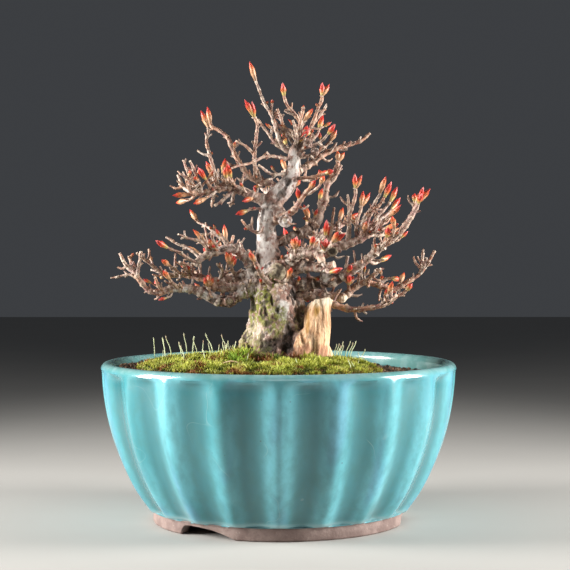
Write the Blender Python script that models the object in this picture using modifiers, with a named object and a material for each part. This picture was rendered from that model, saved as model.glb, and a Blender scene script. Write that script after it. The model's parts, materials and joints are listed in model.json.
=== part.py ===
"""A small trident maple bonsai, leafless with its buds swelling, in a fluted stoneware pot.

The front faces -Y and up is +Z. The origin lies on the ground under the middle of the pot.
Sizes are in millimetres and become metres where a mesh is made.

The tree is drawn from the front. Each branch is a list of (across, height) points in the upright plane
through the pot's middle, as an eye at EYE sees them, with the depth of its tip behind that plane.
"""

import math
import random
from typing import NamedTuple

import bmesh
import bpy
from mathutils import Vector, noise

MM = 0.001

# Pot
RIM_RADIUS = 59.0
RIM_TOP = 53.0
LIP_HALF_THICKNESS = 2.1
GLAZE_EDGE_RADIUS = 43.5
GLAZE_EDGE_HEIGHT = 4.8
FOOT_OUTER_RADIUS = 41.8
FOOT_INNER_RADIUS = 37.2
UNDERSIDE_HEIGHT = 5.8
FLOOR_HEIGHT = 10.0
FLOOR_RADIUS = 36.0
DRAIN_RADIUS = 7.0
FLUTES = 20
STEPS_PER_FLUTE = 4
FLUTE_DEPTH = 1.8
FLUTE_TOP = 50.9
FLUTE_FADE = 1.9
FLUTE_ROUNDNESS = 0.55
ARCH_DROP = 1.6
OUTER_HANDLES = ((59.0, 33.0), (52.0, 14.0))
OUTER_POINTS = 9
INNER_SIDE_HANDLE_HEIGHT = 30.0
INNER_FLOOR_HANDLE = (47.5, 13.0)
INNER_POINTS = 5
LIP_DEGREES = (140, 90, 40)

# Hand-cut notches in the foot ring
NOTCHES = 3
FIRST_NOTCH_DEG = -123.5
NOTCH_OUTLINE = ((-10.3, -1.0), (-9.3, 2.4), (-6.0, 3.2), (2.5, 2.6), (10.4, 0.0), (10.4, -1.0))
NOTCH_REACH = 14.0

# Soil, moss and the hole that the tree stands in
CLEARANCE = 0.4
SOIL_LEVEL = 49.2
SOIL_TILT = -0.028
MOUND_HEIGHT = 2.2
MOUND_SPREAD = 22.0
SOIL_STEPS = 40
TREE_BOTTOM = 40.0
TREE_ACROSS = 1.5
MOSS_THICKNESS = 2.9
MOSS_EDGE = 1.2
MOSS_SIDES = 44
MOSS_RINGS = (1.0, 0.93, 0.84, 0.74, 0.64, 0.54, 0.44, 0.32, 0.15)

# Screen over the drain hole
SCREEN_SIDE = 24.0
SCREEN_CELLS = 4
SCREEN_BAR = 0.9

# Root base of the trunk
ROOT_HALF_WIDTH = 15.2
ROOT_HALF_DEPTH = 12.2
ROOT_SIDES = 20
# Rings from the bottom up: (height, scale, share of the lobed outline, (across, depth))
ROOT_RINGS = (
    (TREE_BOTTOM, 0.96, 1.0, (TREE_ACROSS, 0.0)),
    (48.0, 1.0, 1.0, (TREE_ACROSS, 0.0)),
    (55.0, 1.0, 1.0, (TREE_ACROSS, 0.0)),
    (59.0, 0.93, 1.0, (1.2, 0.0)),
    (63.0, 0.78, 0.8, (0.8, 0.2)),
    (67.0, 0.70, 0.5, (0.0, 0.4)),
    (73.0, 0.68, 0.3, (-0.7, 0.6)),
    (78.0, 0.56, 0.1, (-1.2, 0.8)),
)

# Dead stump, as rings: (height, (across, depth), radius)
STUMP = (
    (50.0, (9.2, -2.6), 4.0),
    (55.4, (9.4, -3.2), 4.7),
    (57.5, (9.9, -4.3), 6.4),
    (61.0, (10.8, -4.4), 5.9),
    (65.0, (12.0, -3.8), 4.8),
    (71.0, (13.2, -2.8), 3.9),
)
STUMP_SIDES = 10

# Eye that the branches are drawn from
EYE = (0.0, -531.0, 91.7)

# Buds and twigs
BUD_LENGTH = 4.6
BUD_RADIUS = 0.85
TIP_RADIUS = 0.32
TWIG_THICK = 0.75
TWIG_THIN = 0.5
PAIR_OFFSET = (2.4, -0.5)
SEED = 11


class Branch(NamedTuple):
    """A limb or twig, from its root to its tip."""

    parent: str
    points: tuple
    depth: float
    thick: float = TWIG_THICK
    thin: float = TWIG_THIN
    ends: str = "bud"


class Laid(NamedTuple):
    """A branch laid out in space: its points, in millimetres, and the radius at each."""

    points: list
    radii: list


# The trunk above the root base: (across, height, depth, radius)
TRUNK = (
    (-0.7, 70.0, 0.5, 8.4),
    (-1.0, 76.0, 1.0, 7.8),
    (-1.8, 81.0, 1.0, 6.2),
    (-2.8, 85.5, 1.0, 4.8),
    (-4.0, 90.5, 0.5, 3.8),
    (-4.2, 96.0, 0.0, 3.2),
    (-3.9, 101.0, -0.5, 3.1),
    (-2.2, 105.7, -0.5, 3.3),
    (1.6, 110.0, 0.0, 3.3),
    (4.1, 114.2, 0.5, 2.6),
    (5.2, 118.4, 0.5, 2.1),
    (5.2, 122.8, 0.5, 2.2),
    (6.8, 126.0, 0.5, 1.5),
)

LIMBS = {
    "low_left": Branch(
        "trunk",
        ((-4.0, 77.0), (-12.9, 75.4), (-16.2, 73.2), (-20.2, 73.2), (-23.9, 75.1), (-29.6, 77.1),
         (-35.6, 77.2), (-39.6, 76.1), (-42.9, 76.4), (-45.9, 79.4), (-48.2, 83.1), (-49.9, 88.1)),
        -8.0, 2.5, 0.55, "stub",
    ),
    "low_left_back": Branch(
        "trunk",
        ((-4.0, 82.0), (-11.6, 81.5), (-16.0, 80.8), (-21.0, 79.6), (-25.0, 80.6), (-30.0, 81.6),
         (-36.2, 81.6)),
        6.0, 2.1, 0.9, "stub",
    ),
    "mid_left": Branch(
        "trunk",
        ((-3.0, 79.0), (-8.2, 83.5), (-11.5, 88.0), (-15.2, 90.6), (-19.0, 90.1), (-22.4, 89.0),
         (-26.0, 87.2), (-28.0, 85.0)),
        -6.0, 2.3, 1.1, "stub",
    ),
    "upper_left": Branch(
        "trunk",
        ((-2.0, 106.0), (-8.6, 107.9), (-12.9, 110.1), (-16.9, 110.9), (-21.2, 110.1), (-25.2, 109.1),
         (-29.6, 108.6), (-35.4, 108.2)),
        -9.0, 2.0, 0.6,
    ),
    "tall_left": Branch(
        "trunk",
        ((0.5, 109.0), (-3.0, 112.4), (-5.8, 112.7), (-9.2, 114.1), (-12.6, 118.4), (-15.6, 124.1),
         (-16.9, 127.4), (-19.6, 129.7), (-22.6, 131.7), (-23.7, 137.7)),
        4.0, 1.2, 0.55,
    ),
    "right_upper": Branch(
        "trunk",
        ((-1.0, 92.0), (5.0, 94.5), (10.4, 97.4), (13.1, 99.6), (13.8, 102.7), (15.4, 106.7),
         (16.1, 111.4), (17.8, 115.1), (19.8, 119.4), (19.6, 123.2)),
        8.0, 1.9, 0.75, "pair",
    ),
    "right_main": Branch(
        "trunk",
        ((-1.0, 84.0), (7.0, 87.0), (12.0, 88.8), (17.1, 90.2), (22.0, 91.8), (27.0, 93.6), (31.0, 96.0)),
        -2.0, 2.8, 1.2, "stub",
    ),
    "right_low": Branch(
        "trunk",
        ((3.0, 78.0), (7.5, 78.4), (13.8, 79.4), (18.4, 79.8), (21.4, 81.4), (24.4, 83.4), (29.1, 86.7),
         (33.8, 90.7), (38.4, 94.1), (41.8, 97.7), (44.1, 101.1), (46.4, 105.7), (48.2, 111.1)),
        -12.0, 2.4, 0.7, "pair",
    ),
    "right_under": Branch(
        "trunk",
        ((4.0, 76.0), (9.8, 76.2), (17.1, 74.8), (22.1, 74.8), (24.8, 77.2), (28.4, 79.2), (33.1, 78.4),
         (38.8, 77.1), (42.4, 79.1), (47.1, 82.2), (49.4, 85.1), (52.1, 89.9)),
        6.0, 1.8, 0.5, "stub",
    ),
    "right_lowest": Branch(
        "trunk",
        ((3.0, 74.0), (10.4, 74.6), (16.8, 72.6), (20.4, 71.1), (25.4, 70.2), (30.4, 70.7), (34.8, 71.7),
         (39.1, 74.4), (42.4, 76.4), (44.6, 79.0)),
        -6.0, 1.5, 0.5,
    ),
    "front_low": Branch(
        "trunk",
        ((-1.0, 82.0), (3.1, 86.1), (5.8, 88.4), (9.8, 89.4), (13.1, 88.8), (14.6, 85.6)),
        -15.0, 2.4, 1.2, "stub",
    ),
    "right_front": Branch(
        "trunk",
        ((0.0, 80.0), (5.0, 83.2), (9.5, 84.6), (14.0, 84.2), (18.6, 85.2)),
        -9.0, 2.5, 1.5, "stub",
    ),
    "low_left_mid": Branch(
        "trunk",
        ((-4.0, 80.0), (-9.0, 78.9), (-14.0, 77.9), (-19.0, 77.2), (-24.0, 78.2)),
        -3.0, 2.1, 1.2, "stub",
    ),
    "front_left": Branch(
        "trunk",
        ((1.4, 73.0), (-2.2, 77.7), (-5.6, 81.7), (-7.9, 86.1), (-9.8, 89.4)),
        -18.0, 1.4, 0.7,
    ),
    "back_low": Branch(
        "trunk",
        ((-1.0, 81.0), (3.0, 84.5), (8.0, 88.0), (12.0, 92.0), (15.5, 96.5)),
        31.0, 2.4, 0.9, "stub",
    ),
    "back_left": Branch(
        "trunk",
        ((-3.0, 83.0), (-9.0, 86.6), (-14.5, 88.8), (-20.0, 90.0)),
        27.0, 2.0, 0.9, "stub",
    ),
    "upper_back": Branch(
        "trunk",
        ((-3.5, 102.0), (-0.5, 106.5), (3.0, 110.5), (6.5, 114.0)),
        20.0, 1.7, 0.8, "stub",
    ),
    "upper_front": Branch(
        "trunk",
        ((-3.6, 99.0), (1.5, 101.2), (4.8, 103.1), (8.1, 108.1), (10.1, 110.4), (12.3, 113.3)),
        -15.0, 1.5, 0.6,
    ),
    "long_right": Branch(
        "trunk",
        ((5.0, 115.5), (10.1, 118.4), (13.8, 121.1), (18.1, 123.4), (23.4, 125.1), (27.4, 126.4),
         (30.4, 128.9)),
        8.0, 1.3, 0.5, "stub",
    ),
}

TWIGS = (
    # Apex, left to right
    Branch("trunk", ((4.0, 121.5), (1.4, 124.7), (-0.9, 130.7), (-2.6, 135.1), (-5.2, 139.7), (-6.9, 144.1),
                     (-9.7, 152.7)), -4.0, 0.9),
    Branch("trunk", ((-0.6, 130.0), (-2.5, 135.4), (-2.2, 139.7)), -2.0, ends="stub"),
    Branch("trunk", ((5.0, 122.0), (0.1, 124.7), (-3.9, 129.1), (-7.0, 133.5)), 2.0, 0.85, ends="stub"),
    Branch("tall_left", ((-5.8, 112.7), (-8.2, 120.0), (-7.9, 123.8), (-7.1, 129.0), (-7.8, 133.8),
                         (-11.4, 140.1)), -9.0, 0.8, 0.6, "pair"),
    Branch("tall_left", ((-8.0, 114.0), (-8.4, 121.7), (-11.2, 124.7), (-14.2, 126.4)),
           -6.0, 0.6, ends="stub"),
    Branch("trunk", ((5.5, 124.0), (2.1, 129.7), (0.8, 133.1), (-0.4, 136.7)), 5.0, ends="stub"),
    Branch("trunk", ((6.5, 125.0), (6.8, 133.1), (4.8, 135.7), (2.8, 138.1), (1.8, 141.1), (1.3, 145.7)),
           -6.0, 0.9),
    Branch("trunk", ((6.3, 125.0), (7.0, 132.0), (8.4, 137.4)), -5.0, 0.8, 0.6, "stub"),
    Branch("trunk", ((6.6, 126.0), (8.4, 133.0), (11.4, 137.1)), -8.0, 0.6),
    Branch("trunk", ((5.6, 124.5), (5.4, 130.1), (4.8, 133.1)), -10.0, ends="stub"),
    Branch("trunk", ((6.8, 126.0), (11.4, 132.1), (13.1, 137.1), (14.4, 141.1), (14.5, 145.8)),
           3.0, 0.9, 0.55, "pair"),
    Branch("trunk", ((6.8, 126.0), (11.8, 132.0), (15.8, 138.1)), 5.0, 0.6, ends="stub"),
    Branch("trunk", ((6.4, 125.0), (13.1, 129.1), (14.8, 135.1)), 9.0),
    Branch("trunk", ((5.6, 123.0), (13.1, 125.7), (16.4, 128.6), (18.8, 132.0)), -7.0),
    Branch("trunk", ((5.2, 120.5), (13.8, 123.2), (17.1, 126.2), (19.3, 130.0)), 1.0),
    Branch("trunk", ((6.6, 125.0), (10.3, 130.9)), -3.0, 0.7),
    Branch("trunk", ((5.2, 120.0), (-4.9, 121.1), (-9.9, 119.1), (-15.9, 117.4)), -12.0, 0.7, ends="stub"),
    Branch("trunk", ((3.0, 116.0), (-2.2, 115.4), (-6.8, 118.4)), -5.0, ends="stub"),
    Branch("trunk", ((5.0, 118.0), (3.0, 124.0), (1.0, 129.0)), 14.0, 0.8),
    Branch("trunk", ((5.2, 121.0), (8.0, 126.0), (9.5, 131.5)), 15.0, 0.8, 0.55, "pair"),
    # Upper left spray
    Branch("upper_left", ((-20.5, 110.3), (-20.9, 114.7), (-22.6, 120.7), (-23.9, 126.1), (-23.2, 130.4),
                          (-25.9, 136.5)), 1.0, 0.8),
    Branch("upper_left", ((-25.5, 109.0), (-27.2, 114.7), (-29.6, 119.7)), -14.0, ends="stub"),
    Branch("upper_left", ((-26.0, 109.0), (-29.6, 114.1), (-31.9, 120.1)), -4.0, ends="stub"),
    Branch("upper_left", ((-22.5, 110.0), (-24.2, 113.4), (-26.9, 117.6)), -14.0),
    Branch("upper_left", ((-20.5, 110.3), (-21.9, 114.4), (-24.2, 119.7)), -6.0),
    Branch("upper_left", ((-17.5, 110.8), (-18.9, 114.1), (-17.7, 120.7)), 2.0),
    Branch("upper_left", ((-14.0, 110.4), (-15.9, 114.1), (-17.2, 118.9)), -13.0),
    Branch("upper_left", ((-26.0, 109.0), (-29.2, 112.7), (-32.9, 115.4)), -12.0, ends="stub"),
    Branch("upper_left", ((-27.5, 108.8), (-30.2, 111.1), (-33.2, 112.1)), -2.0, ends="stub"),
    Branch("upper_left", ((-27.0, 108.6), (-30.2, 106.7), (-34.2, 105.7)), 4.0, 0.6),
    Branch("upper_left", ((-20.0, 110.2), (-24.2, 107.3), (-28.4, 105.4)), -14.0, 0.6),
    Branch("upper_left", ((-21.0, 110.0), (-22.2, 104.7)), 3.0, ends="stub"),
    Branch("upper_left", ((-15.0, 110.6), (-18.9, 106.3), (-21.2, 104.7)), -5.0, ends="stub"),
    Branch("upper_left", ((-14.5, 110.4), (-16.2, 104.7)), 6.0, ends="stub"),
    Branch("upper_left", ((-8.0, 107.8), (-12.2, 106.2)), -7.0),
    Branch("trunk", ((-4.0, 104.0), (-10.2, 103.2), (-14.4, 101.9)), -6.0, 0.6),
    Branch("trunk", ((-4.5, 95.0), (-9.6, 97.1), (-12.4, 100.2)), -5.0, ends="stub"),
    # Middle left spray
    Branch("mid_left", ((-16.2, 90.6), (-18.9, 93.7), (-21.9, 96.4), (-24.6, 98.2), (-27.0, 99.6),
                        (-29.7, 103.6)), 9.0, 0.8),
    Branch("mid_left", ((-22.5, 89.2), (-23.9, 94.4), (-24.5, 97.4)), 1.0, 0.7, ends="stub"),
    Branch("mid_left", ((-19.8, 90.2), (-21.6, 93.4), (-22.2, 96.4)), -9.0, ends="stub"),
    Branch("mid_left", ((-22.6, 89.1), (-25.6, 92.4), (-28.9, 93.7), (-33.4, 95.4)),
           -12.0, 0.7, ends="stub"),
    Branch("mid_left", ((-26.0, 87.2), (-30.2, 90.7), (-33.9, 92.4), (-37.7, 94.4)), -2.0, 0.7, ends="stub"),
    Branch("mid_left", ((-27.5, 86.0), (-30.9, 87.7), (-33.9, 89.4), (-37.0, 90.8), (-41.1, 93.3)),
           -16.0, 0.7),
    Branch("low_left_back", ((-14.5, 81.2), (-15.9, 85.0), (-17.6, 89.4)), -9.0),
    Branch("low_left_back", ((-20.0, 79.8), (-18.9, 82.7), (-20.6, 85.7)), -4.0, ends="stub"),
    Branch("low_left_back", ((-18.5, 80.2), (-17.6, 82.7), (-17.2, 84.7)), 8.0, ends="stub"),
    Branch("back_left", ((-14.5, 88.8), (-17.5, 93.0), (-18.2, 98.6)), 20.0),
    Branch("back_left", ((-18.5, 89.8), (-24.0, 92.4), (-28.6, 97.0)), 22.0),
    Branch("back_left", ((-20.0, 90.0), (-25.5, 88.6), (-31.5, 91.4)), 33.0),
    # Low left spray
    Branch("low_left_back", ((-33.0, 81.6), (-38.2, 82.4), (-42.9, 85.2), (-47.2, 89.1)),
           -2.0, 0.8, ends="stub"),
    Branch("low_left_back", ((-31.0, 81.6), (-34.6, 83.6), (-39.0, 86.8)), -13.0),
    Branch("low_left_back", ((-35.0, 81.6), (-42.4, 83.6)), 12.0, ends="stub"),
    Branch("low_left", ((-45.5, 79.2), (-49.6, 81.7), (-53.6, 81.1), (-55.9, 80.7)), -5.0, 0.6, 0.4, "stub"),
    Branch("low_left", ((-48.4, 84.0), (-50.6, 85.1), (-52.0, 86.6)), -13.0, ends="stub"),
    Branch("low_left_back", ((-29.8, 81.6), (-31.2, 84.7), (-33.2, 86.0)), -7.0, ends="stub"),
    Branch("low_left_back", ((-28.6, 81.4), (-29.2, 85.8)), 2.0, ends="stub"),
    Branch("low_left", ((-33.0, 77.2), (-36.0, 79.8), (-38.6, 83.2)), -17.0),
    Branch("low_left_back", ((-25.0, 80.6), (-28.5, 83.0), (-33.0, 85.6)), 18.0),
    # Right spray, inner to outer
    Branch("right_main", ((23.0, 92.2), (23.4, 97.0), (23.8, 101.7), (24.8, 105.7), (25.6, 110.4),
                          (25.3, 115.5)), -6.0, 0.9, 0.6, "pair"),
    Branch("right_main", ((22.4, 92.0), (23.4, 102.0), (23.1, 108.4)), -9.0, 0.6, ends="stub"),
    Branch("right_main", ((26.0, 93.2), (26.1, 99.1), (27.4, 104.2), (28.2, 109.8)), 3.0, 0.8, 0.55, "pair"),
    Branch("right_main", ((27.0, 93.6), (28.4, 100.0), (31.1, 104.4), (33.6, 108.8), (35.7, 114.6)),
           -13.0, 0.9),
    Branch("right_main", ((28.0, 94.2), (30.4, 101.6), (35.1, 107.4), (37.6, 112.9)), -4.0, 0.9),
    Branch("right_main", ((29.0, 94.8), (33.1, 101.1), (37.1, 105.9), (39.5, 111.1)), 4.0, 0.8),
    Branch("right_main", ((30.0, 95.4), (34.4, 100.6), (37.4, 103.4), (40.6, 107.6)), 11.0, 0.8),
    Branch("right_main", ((31.0, 96.0), (34.8, 99.2), (40.9, 105.2)), -11.0, 0.8),
    Branch("right_main", ((30.0, 95.4), (35.2, 97.0), (40.0, 98.8)), -15.0),
    Branch("right_main", ((29.0, 94.8), (35.8, 95.2), (41.0, 97.2)), 14.0),
    Branch("right_main", ((18.5, 90.6), (19.8, 98.0), (21.4, 104.3)), 12.0),
    Branch("right_main", ((16.5, 90.0), (17.8, 98.4), (18.4, 104.3)), 5.0, ends="stub"),
    Branch("right_main", ((14.0, 89.4), (15.6, 95.0), (16.0, 100.2)), -9.0),
    Branch("right_upper", ((14.2, 103.6), (13.4, 106.1), (14.6, 110.6)), 14.0),
    Branch("right_upper", ((12.2, 98.9), (9.6, 101.0), (8.4, 105.2)), -4.0),
    Branch("trunk", ((4.0, 113.5), (11.1, 114.4), (15.4, 115.4), (18.3, 116.6)), -4.0, 0.7),
    Branch("upper_front", ((8.1, 108.1), (11.4, 109.7), (13.8, 112.1), (15.2, 114.8)), -17.0, 0.6),
    Branch("upper_front", ((7.0, 106.4), (6.1, 110.9)), -12.0, 0.6),
    # Right low sprays
    Branch("right_low", ((33.4, 90.4), (35.4, 92.6)), -14.0, ends="stub"),
    Branch("right_low", ((37.0, 93.0), (38.6, 97.2), (37.8, 101.4)), -18.0),
    Branch("right_under", ((23.4, 76.2), (23.5, 81.8)), -8.0, 0.7),
    Branch("right_under", ((26.1, 78.4), (26.9, 82.4)), -4.0, 0.6, ends="stub"),
    Branch("right_under", ((28.6, 79.2), (31.1, 81.6), (34.1, 83.7)), -9.0, ends="stub"),
    Branch("right_under", ((39.6, 77.6), (41.9, 82.6)), 12.0, 0.6),
    Branch("right_under", ((48.8, 84.2), (50.4, 86.4)), 2.0, ends="stub"),
    Branch("right_under", ((33.1, 78.4), (37.2, 80.6), (41.0, 80.2)), 15.0),
    Branch("right_lowest", ((34.0, 71.6), (36.5, 75.4), (38.0, 79.6)), -14.0),
    Branch("right_low", ((29.0, 86.7), (33.0, 86.0), (37.6, 88.4)), 4.0),
    # Toward the viewer and away
    Branch("front_low", ((5.8, 88.4), (5.2, 94.0)), -17.0, 0.7),
    Branch("front_low", ((9.8, 89.4), (11.8, 94.6)), -22.0, 0.7),
    Branch("front_low", ((13.1, 88.8), (17.6, 92.0), (19.8, 96.2)), -27.0, 0.8, 0.6, "pair"),
    Branch("front_low", ((14.4, 86.0), (17.0, 82.6), (21.4, 84.0)), -22.0),
    Branch("front_left", ((-2.2, 77.7), (2.8, 80.1), (4.3, 84.2)), -19.0),
    Branch("back_low", ((8.0, 88.0), (3.6, 92.0), (1.6, 97.6)), 24.0),
    Branch("back_low", ((12.0, 92.0), (9.4, 98.2), (9.8, 104.0)), 34.0),
    Branch("back_low", ((15.5, 96.5), (21.0, 98.0), (24.5, 103.0)), 38.0, 0.8, 0.6, "pair"),
    Branch("back_low", ((12.0, 92.0), (19.0, 90.6), (25.6, 93.6)), 36.0),
    Branch("upper_back", ((-0.5, 106.5), (-5.4, 110.2), (-8.4, 115.2)), 22.0),
    Branch("upper_back", ((3.0, 110.5), (2.6, 116.0), (0.8, 121.0)), 24.0),
    Branch("upper_back", ((6.5, 114.0), (11.4, 113.4), (15.8, 116.6)), 29.0),
)

# Limbs that also carry short opposite twigs, and how many pairs each has
SEEDED_PAIRS = {
    "low_left": 3,
    "mid_left": 1,
    "upper_left": 2,
    "right_upper": 1,
    "right_main": 2,
    "right_low": 3,
    "right_under": 2,
    "right_lowest": 1,
    "back_low": 2,
    "back_left": 2,
    "upper_back": 1,
}
SEEDED_LENGTH = (5.0, 9.0)

# Pruning scars and callus: (across, height, depth, radius)
KNOBS = (
    (2.2, 99.8, -3.2, 2.1),
    (17.2, 90.4, -3.0, 2.9),
    (-0.6, 83.1, -4.2, 3.9),
    (-16.4, 73.0, -1.5, 2.3),
    (15.4, 82.2, -3.4, 1.7),
    (-0.6, 101.8, -1.0, 3.3),
    (21.0, 74.2, 2.2, 1.9),
)

# Moss spore stalks: (across, depth, height, lean across)
STALKS = (
    (-42.0, 9.0, 8.0, -0.4), (-39.0, 16.0, 7.4, -1.0), (-38.0, 4.0, 7.6, -0.8), (-36.4, 12.0, 8.2, -2.2),
    (-33.6, 20.0, 6.0, -1.0), (-31.2, 12.0, 8.4, -1.2), (-29.8, 18.0, 8.0, 0.6), (-27.4, 8.0, 7.0, -1.6),
    (-26.2, 14.0, 6.2, 0.4), (-22.4, 17.0, 8.2, -2.8), (-20.8, 10.0, 5.6, 0.6), (-17.4, 13.0, 8.0, -2.2),
    (-15.8, 19.0, 5.4, 1.0), (-24.0, -12.0, 6.6, -0.6), (-13.0, -18.0, 6.0, 0.8), (-31.0, -6.0, 6.8, -1.4),
    (19.6, 15.0, 5.6, 1.8), (22.4, 10.0, 6.8, 2.0), (24.2, 16.0, 7.6, 2.4), (27.6, 6.0, 5.0, 1.6),
    (8.0, -21.0, 4.6, -0.8), (17.0, -17.0, 5.2, 1.0), (-4.0, 24.0, 6.4, 0.6), (6.0, 27.0, 5.8, -1.0),
)
STALK_RADIUS = 0.32

# Chips lying on the moss: name, (across, depth), length, turn in degrees
CHIPS = (
    ("bark_chip", (-25.5, 4.0), 7.0, 24.0),
    ("wood_chip", (-15.4, -20.5), 6.0, -12.0),
)
CHIP_STEPS = 5
CHIP_HALF_WIDTH = 1.4
CHIP_HALF_THICKNESS = 0.4
CHIP_ARCH = 0.9
CHIP_LIFT = 0.9


def new_collection(name: str) -> bpy.types.Collection:
    """A collection linked to the scene."""
    collection = bpy.data.collections.new(name)
    bpy.context.scene.collection.children.link(collection)
    return collection


def clear_scene() -> None:
    """Remove everything that a new file starts with."""
    for obj in list(bpy.data.objects):
        bpy.data.objects.remove(obj)


clear_scene()
PARTS = new_collection("trident_maple_bonsai")
CUTTERS = new_collection("cutters")


def finish(name: str, colour: tuple, roughness: float) -> bpy.types.Material:
    """A plain Principled material."""
    material = bpy.data.materials.new(name)
    material.use_nodes = True
    shader = material.node_tree.nodes["Principled BSDF"]
    shader.inputs["Base Color"].default_value = (*colour, 1.0)
    shader.inputs["Roughness"].default_value = roughness
    shader.inputs["Metallic"].default_value = 0.0
    return material


def mesh_object(name: str, mesh: bpy.types.Mesh, collection: bpy.types.Collection) -> bpy.types.Object:
    """An object holding the mesh, in the collection."""
    obj = bpy.data.objects.new(name, mesh)
    collection.objects.link(obj)
    return obj


def realise(obj: bpy.types.Object) -> bpy.types.Object:
    """Replace the object by a mesh object with its modifiers and bevels made real."""
    bpy.context.view_layer.update()
    evaluated = obj.evaluated_get(bpy.context.evaluated_depsgraph_get())
    mesh = bpy.data.meshes.new_from_object(evaluated)
    tidy = bmesh.new()
    tidy.from_mesh(mesh)
    bmesh.ops.remove_doubles(tidy, verts=tidy.verts, dist=1e-6)
    bmesh.ops.recalc_face_normals(tidy, faces=tidy.faces)
    tidy.to_mesh(mesh)
    tidy.free()
    collection = obj.users_collection[0]
    name = obj.name
    bpy.data.objects.remove(obj)
    return mesh_object(name, mesh, collection)


def turned(
    name: str, profile: list, steps: int, collection: bpy.types.Collection, closed: bool
) -> bpy.types.Object:
    """Turn a profile of (radius, height) points round the upright axis.

    The profile runs down its outer side. A closed profile joins its last point to its first.
    """
    edges = [(i, i + 1) for i in range(len(profile) - 1)]
    if closed:
        edges.append((len(profile) - 1, 0))
    mesh = bpy.data.meshes.new(name)
    mesh.from_pydata([(radius * MM, 0.0, height * MM) for radius, height in profile], edges, [])
    obj = mesh_object(name, mesh, collection)
    screw = obj.modifiers.new("turn", "SCREW")
    screw.steps = steps
    screw.render_steps = steps
    screw.use_merge_vertices = True
    screw.merge_threshold = 1e-5
    return realise(obj)


def lofted(name: str, rings: list, collection: bpy.types.Collection) -> bpy.types.Object:
    """A closed body skinned over rings that have the same number of points, in millimetres."""
    body = bmesh.new()
    loops = [[body.verts.new(point * MM) for point in ring] for ring in rings]
    for lower, upper in zip(loops, loops[1:]):
        for i in range(len(lower)):
            j = (i + 1) % len(lower)
            body.faces.new((lower[i], lower[j], upper[j], upper[i]))
    body.faces.new(loops[0])
    body.faces.new(loops[-1])
    bmesh.ops.recalc_face_normals(body, faces=body.faces)
    mesh = bpy.data.meshes.new(name)
    body.to_mesh(mesh)
    body.free()
    return mesh_object(name, mesh, collection)


def tube(
    name: str, points: list, radii: list, resolution: int, collection: bpy.types.Collection
) -> bpy.types.Object:
    """A round tube through the points, with a radius at each, made a mesh."""
    curve = bpy.data.curves.new(name, "CURVE")
    curve.dimensions = "3D"
    curve.bevel_depth = MM
    curve.bevel_resolution = resolution
    curve.use_fill_caps = True
    spline = curve.splines.new("POLY")
    spline.points.add(len(points) - 1)
    for knot, point, radius in zip(spline.points, points, radii):
        knot.co = (*(point * MM), 1.0)
        knot.radius = radius
    obj = bpy.data.objects.new(name, curve)
    collection.objects.link(obj)
    return realise(obj)


def cut(obj: bpy.types.Object, cutter: bpy.types.Object) -> None:
    """Cut the cutter's shape out of the object, and keep the cutter out of the model."""
    cutter.hide_render = True
    cutter.display_type = "WIRE"
    boolean = obj.modifiers.new(f"less {cutter.name}", "BOOLEAN")
    boolean.operation = "DIFFERENCE"
    boolean.solver = "EXACT"
    boolean.object = cutter


def fuse(name: str, core: bpy.types.Object, grown: bpy.types.Collection) -> bpy.types.Object:
    """One body from the core and everything in the collection, which is then removed."""
    union = core.modifiers.new("grown together", "BOOLEAN")
    union.operation = "UNION"
    union.operand_type = "COLLECTION"
    union.solver = "MANIFOLD"
    union.collection = grown
    core.name = name
    fused = realise(core)
    for obj in list(grown.objects):
        bpy.data.objects.remove(obj)
    bpy.data.collections.remove(grown)
    return fused


def bezier(start: tuple, leave: tuple, arrive: tuple, end: tuple, count: int) -> list:
    """Evenly stepped points of a cubic curve in (radius, height)."""
    points = []
    for i in range(count):
        t = i / (count - 1)
        u = 1.0 - t
        weights = (u**3, 3 * u * u * t, 3 * u * t * t, t**3)
        knots = list(zip(weights, (start, leave, arrive, end)))
        points.append(tuple(sum(w * p[k] for w, p in knots) for k in (0, 1)))
    return points


def outer_wall() -> list:
    """The pot's outside at a ridge, from the lip down to the lower edge of the glaze."""
    lip_height = RIM_TOP - LIP_HALF_THICKNESS
    glaze_edge = (GLAZE_EDGE_RADIUS, GLAZE_EDGE_HEIGHT)
    return bezier((RIM_RADIUS, lip_height), *OUTER_HANDLES, glaze_edge, OUTER_POINTS)


def inner_wall(inset: float, top: float) -> list:
    """The pot's inside from the floor up to a height, drawn in by an inset."""
    radius = RIM_RADIUS - 2 * LIP_HALF_THICKNESS - inset
    return bezier(
        (FLOOR_RADIUS - inset, FLOOR_HEIGHT + inset),
        (INNER_FLOOR_HANDLE[0] - inset, INNER_FLOOR_HANDLE[1] + inset),
        (radius, INNER_SIDE_HANDLE_HEIGHT),
        (radius, top),
        INNER_POINTS,
    )


def lip() -> list:
    """The rounded top of the rim, from inside to outside, without its two ends."""
    middle = RIM_RADIUS - LIP_HALF_THICKNESS
    height = RIM_TOP - LIP_HALF_THICKNESS
    points = []
    for degrees in LIP_DEGREES:
        angle = math.radians(degrees)
        points.append(
            (middle + LIP_HALF_THICKNESS * math.cos(angle), height + LIP_HALF_THICKNESS * math.sin(angle))
        )
    return points


def radius_at(profile: list, height: float) -> float:
    """Radius of a profile at a height, where its points run upward."""
    if height <= profile[0][1]:
        return profile[0][0]
    for (low_radius, low), (high_radius, high) in zip(profile, profile[1:]):
        if height <= high:
            return low_radius + (high_radius - low_radius) * (height - low) / (high - low)
    return profile[-1][0]


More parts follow.
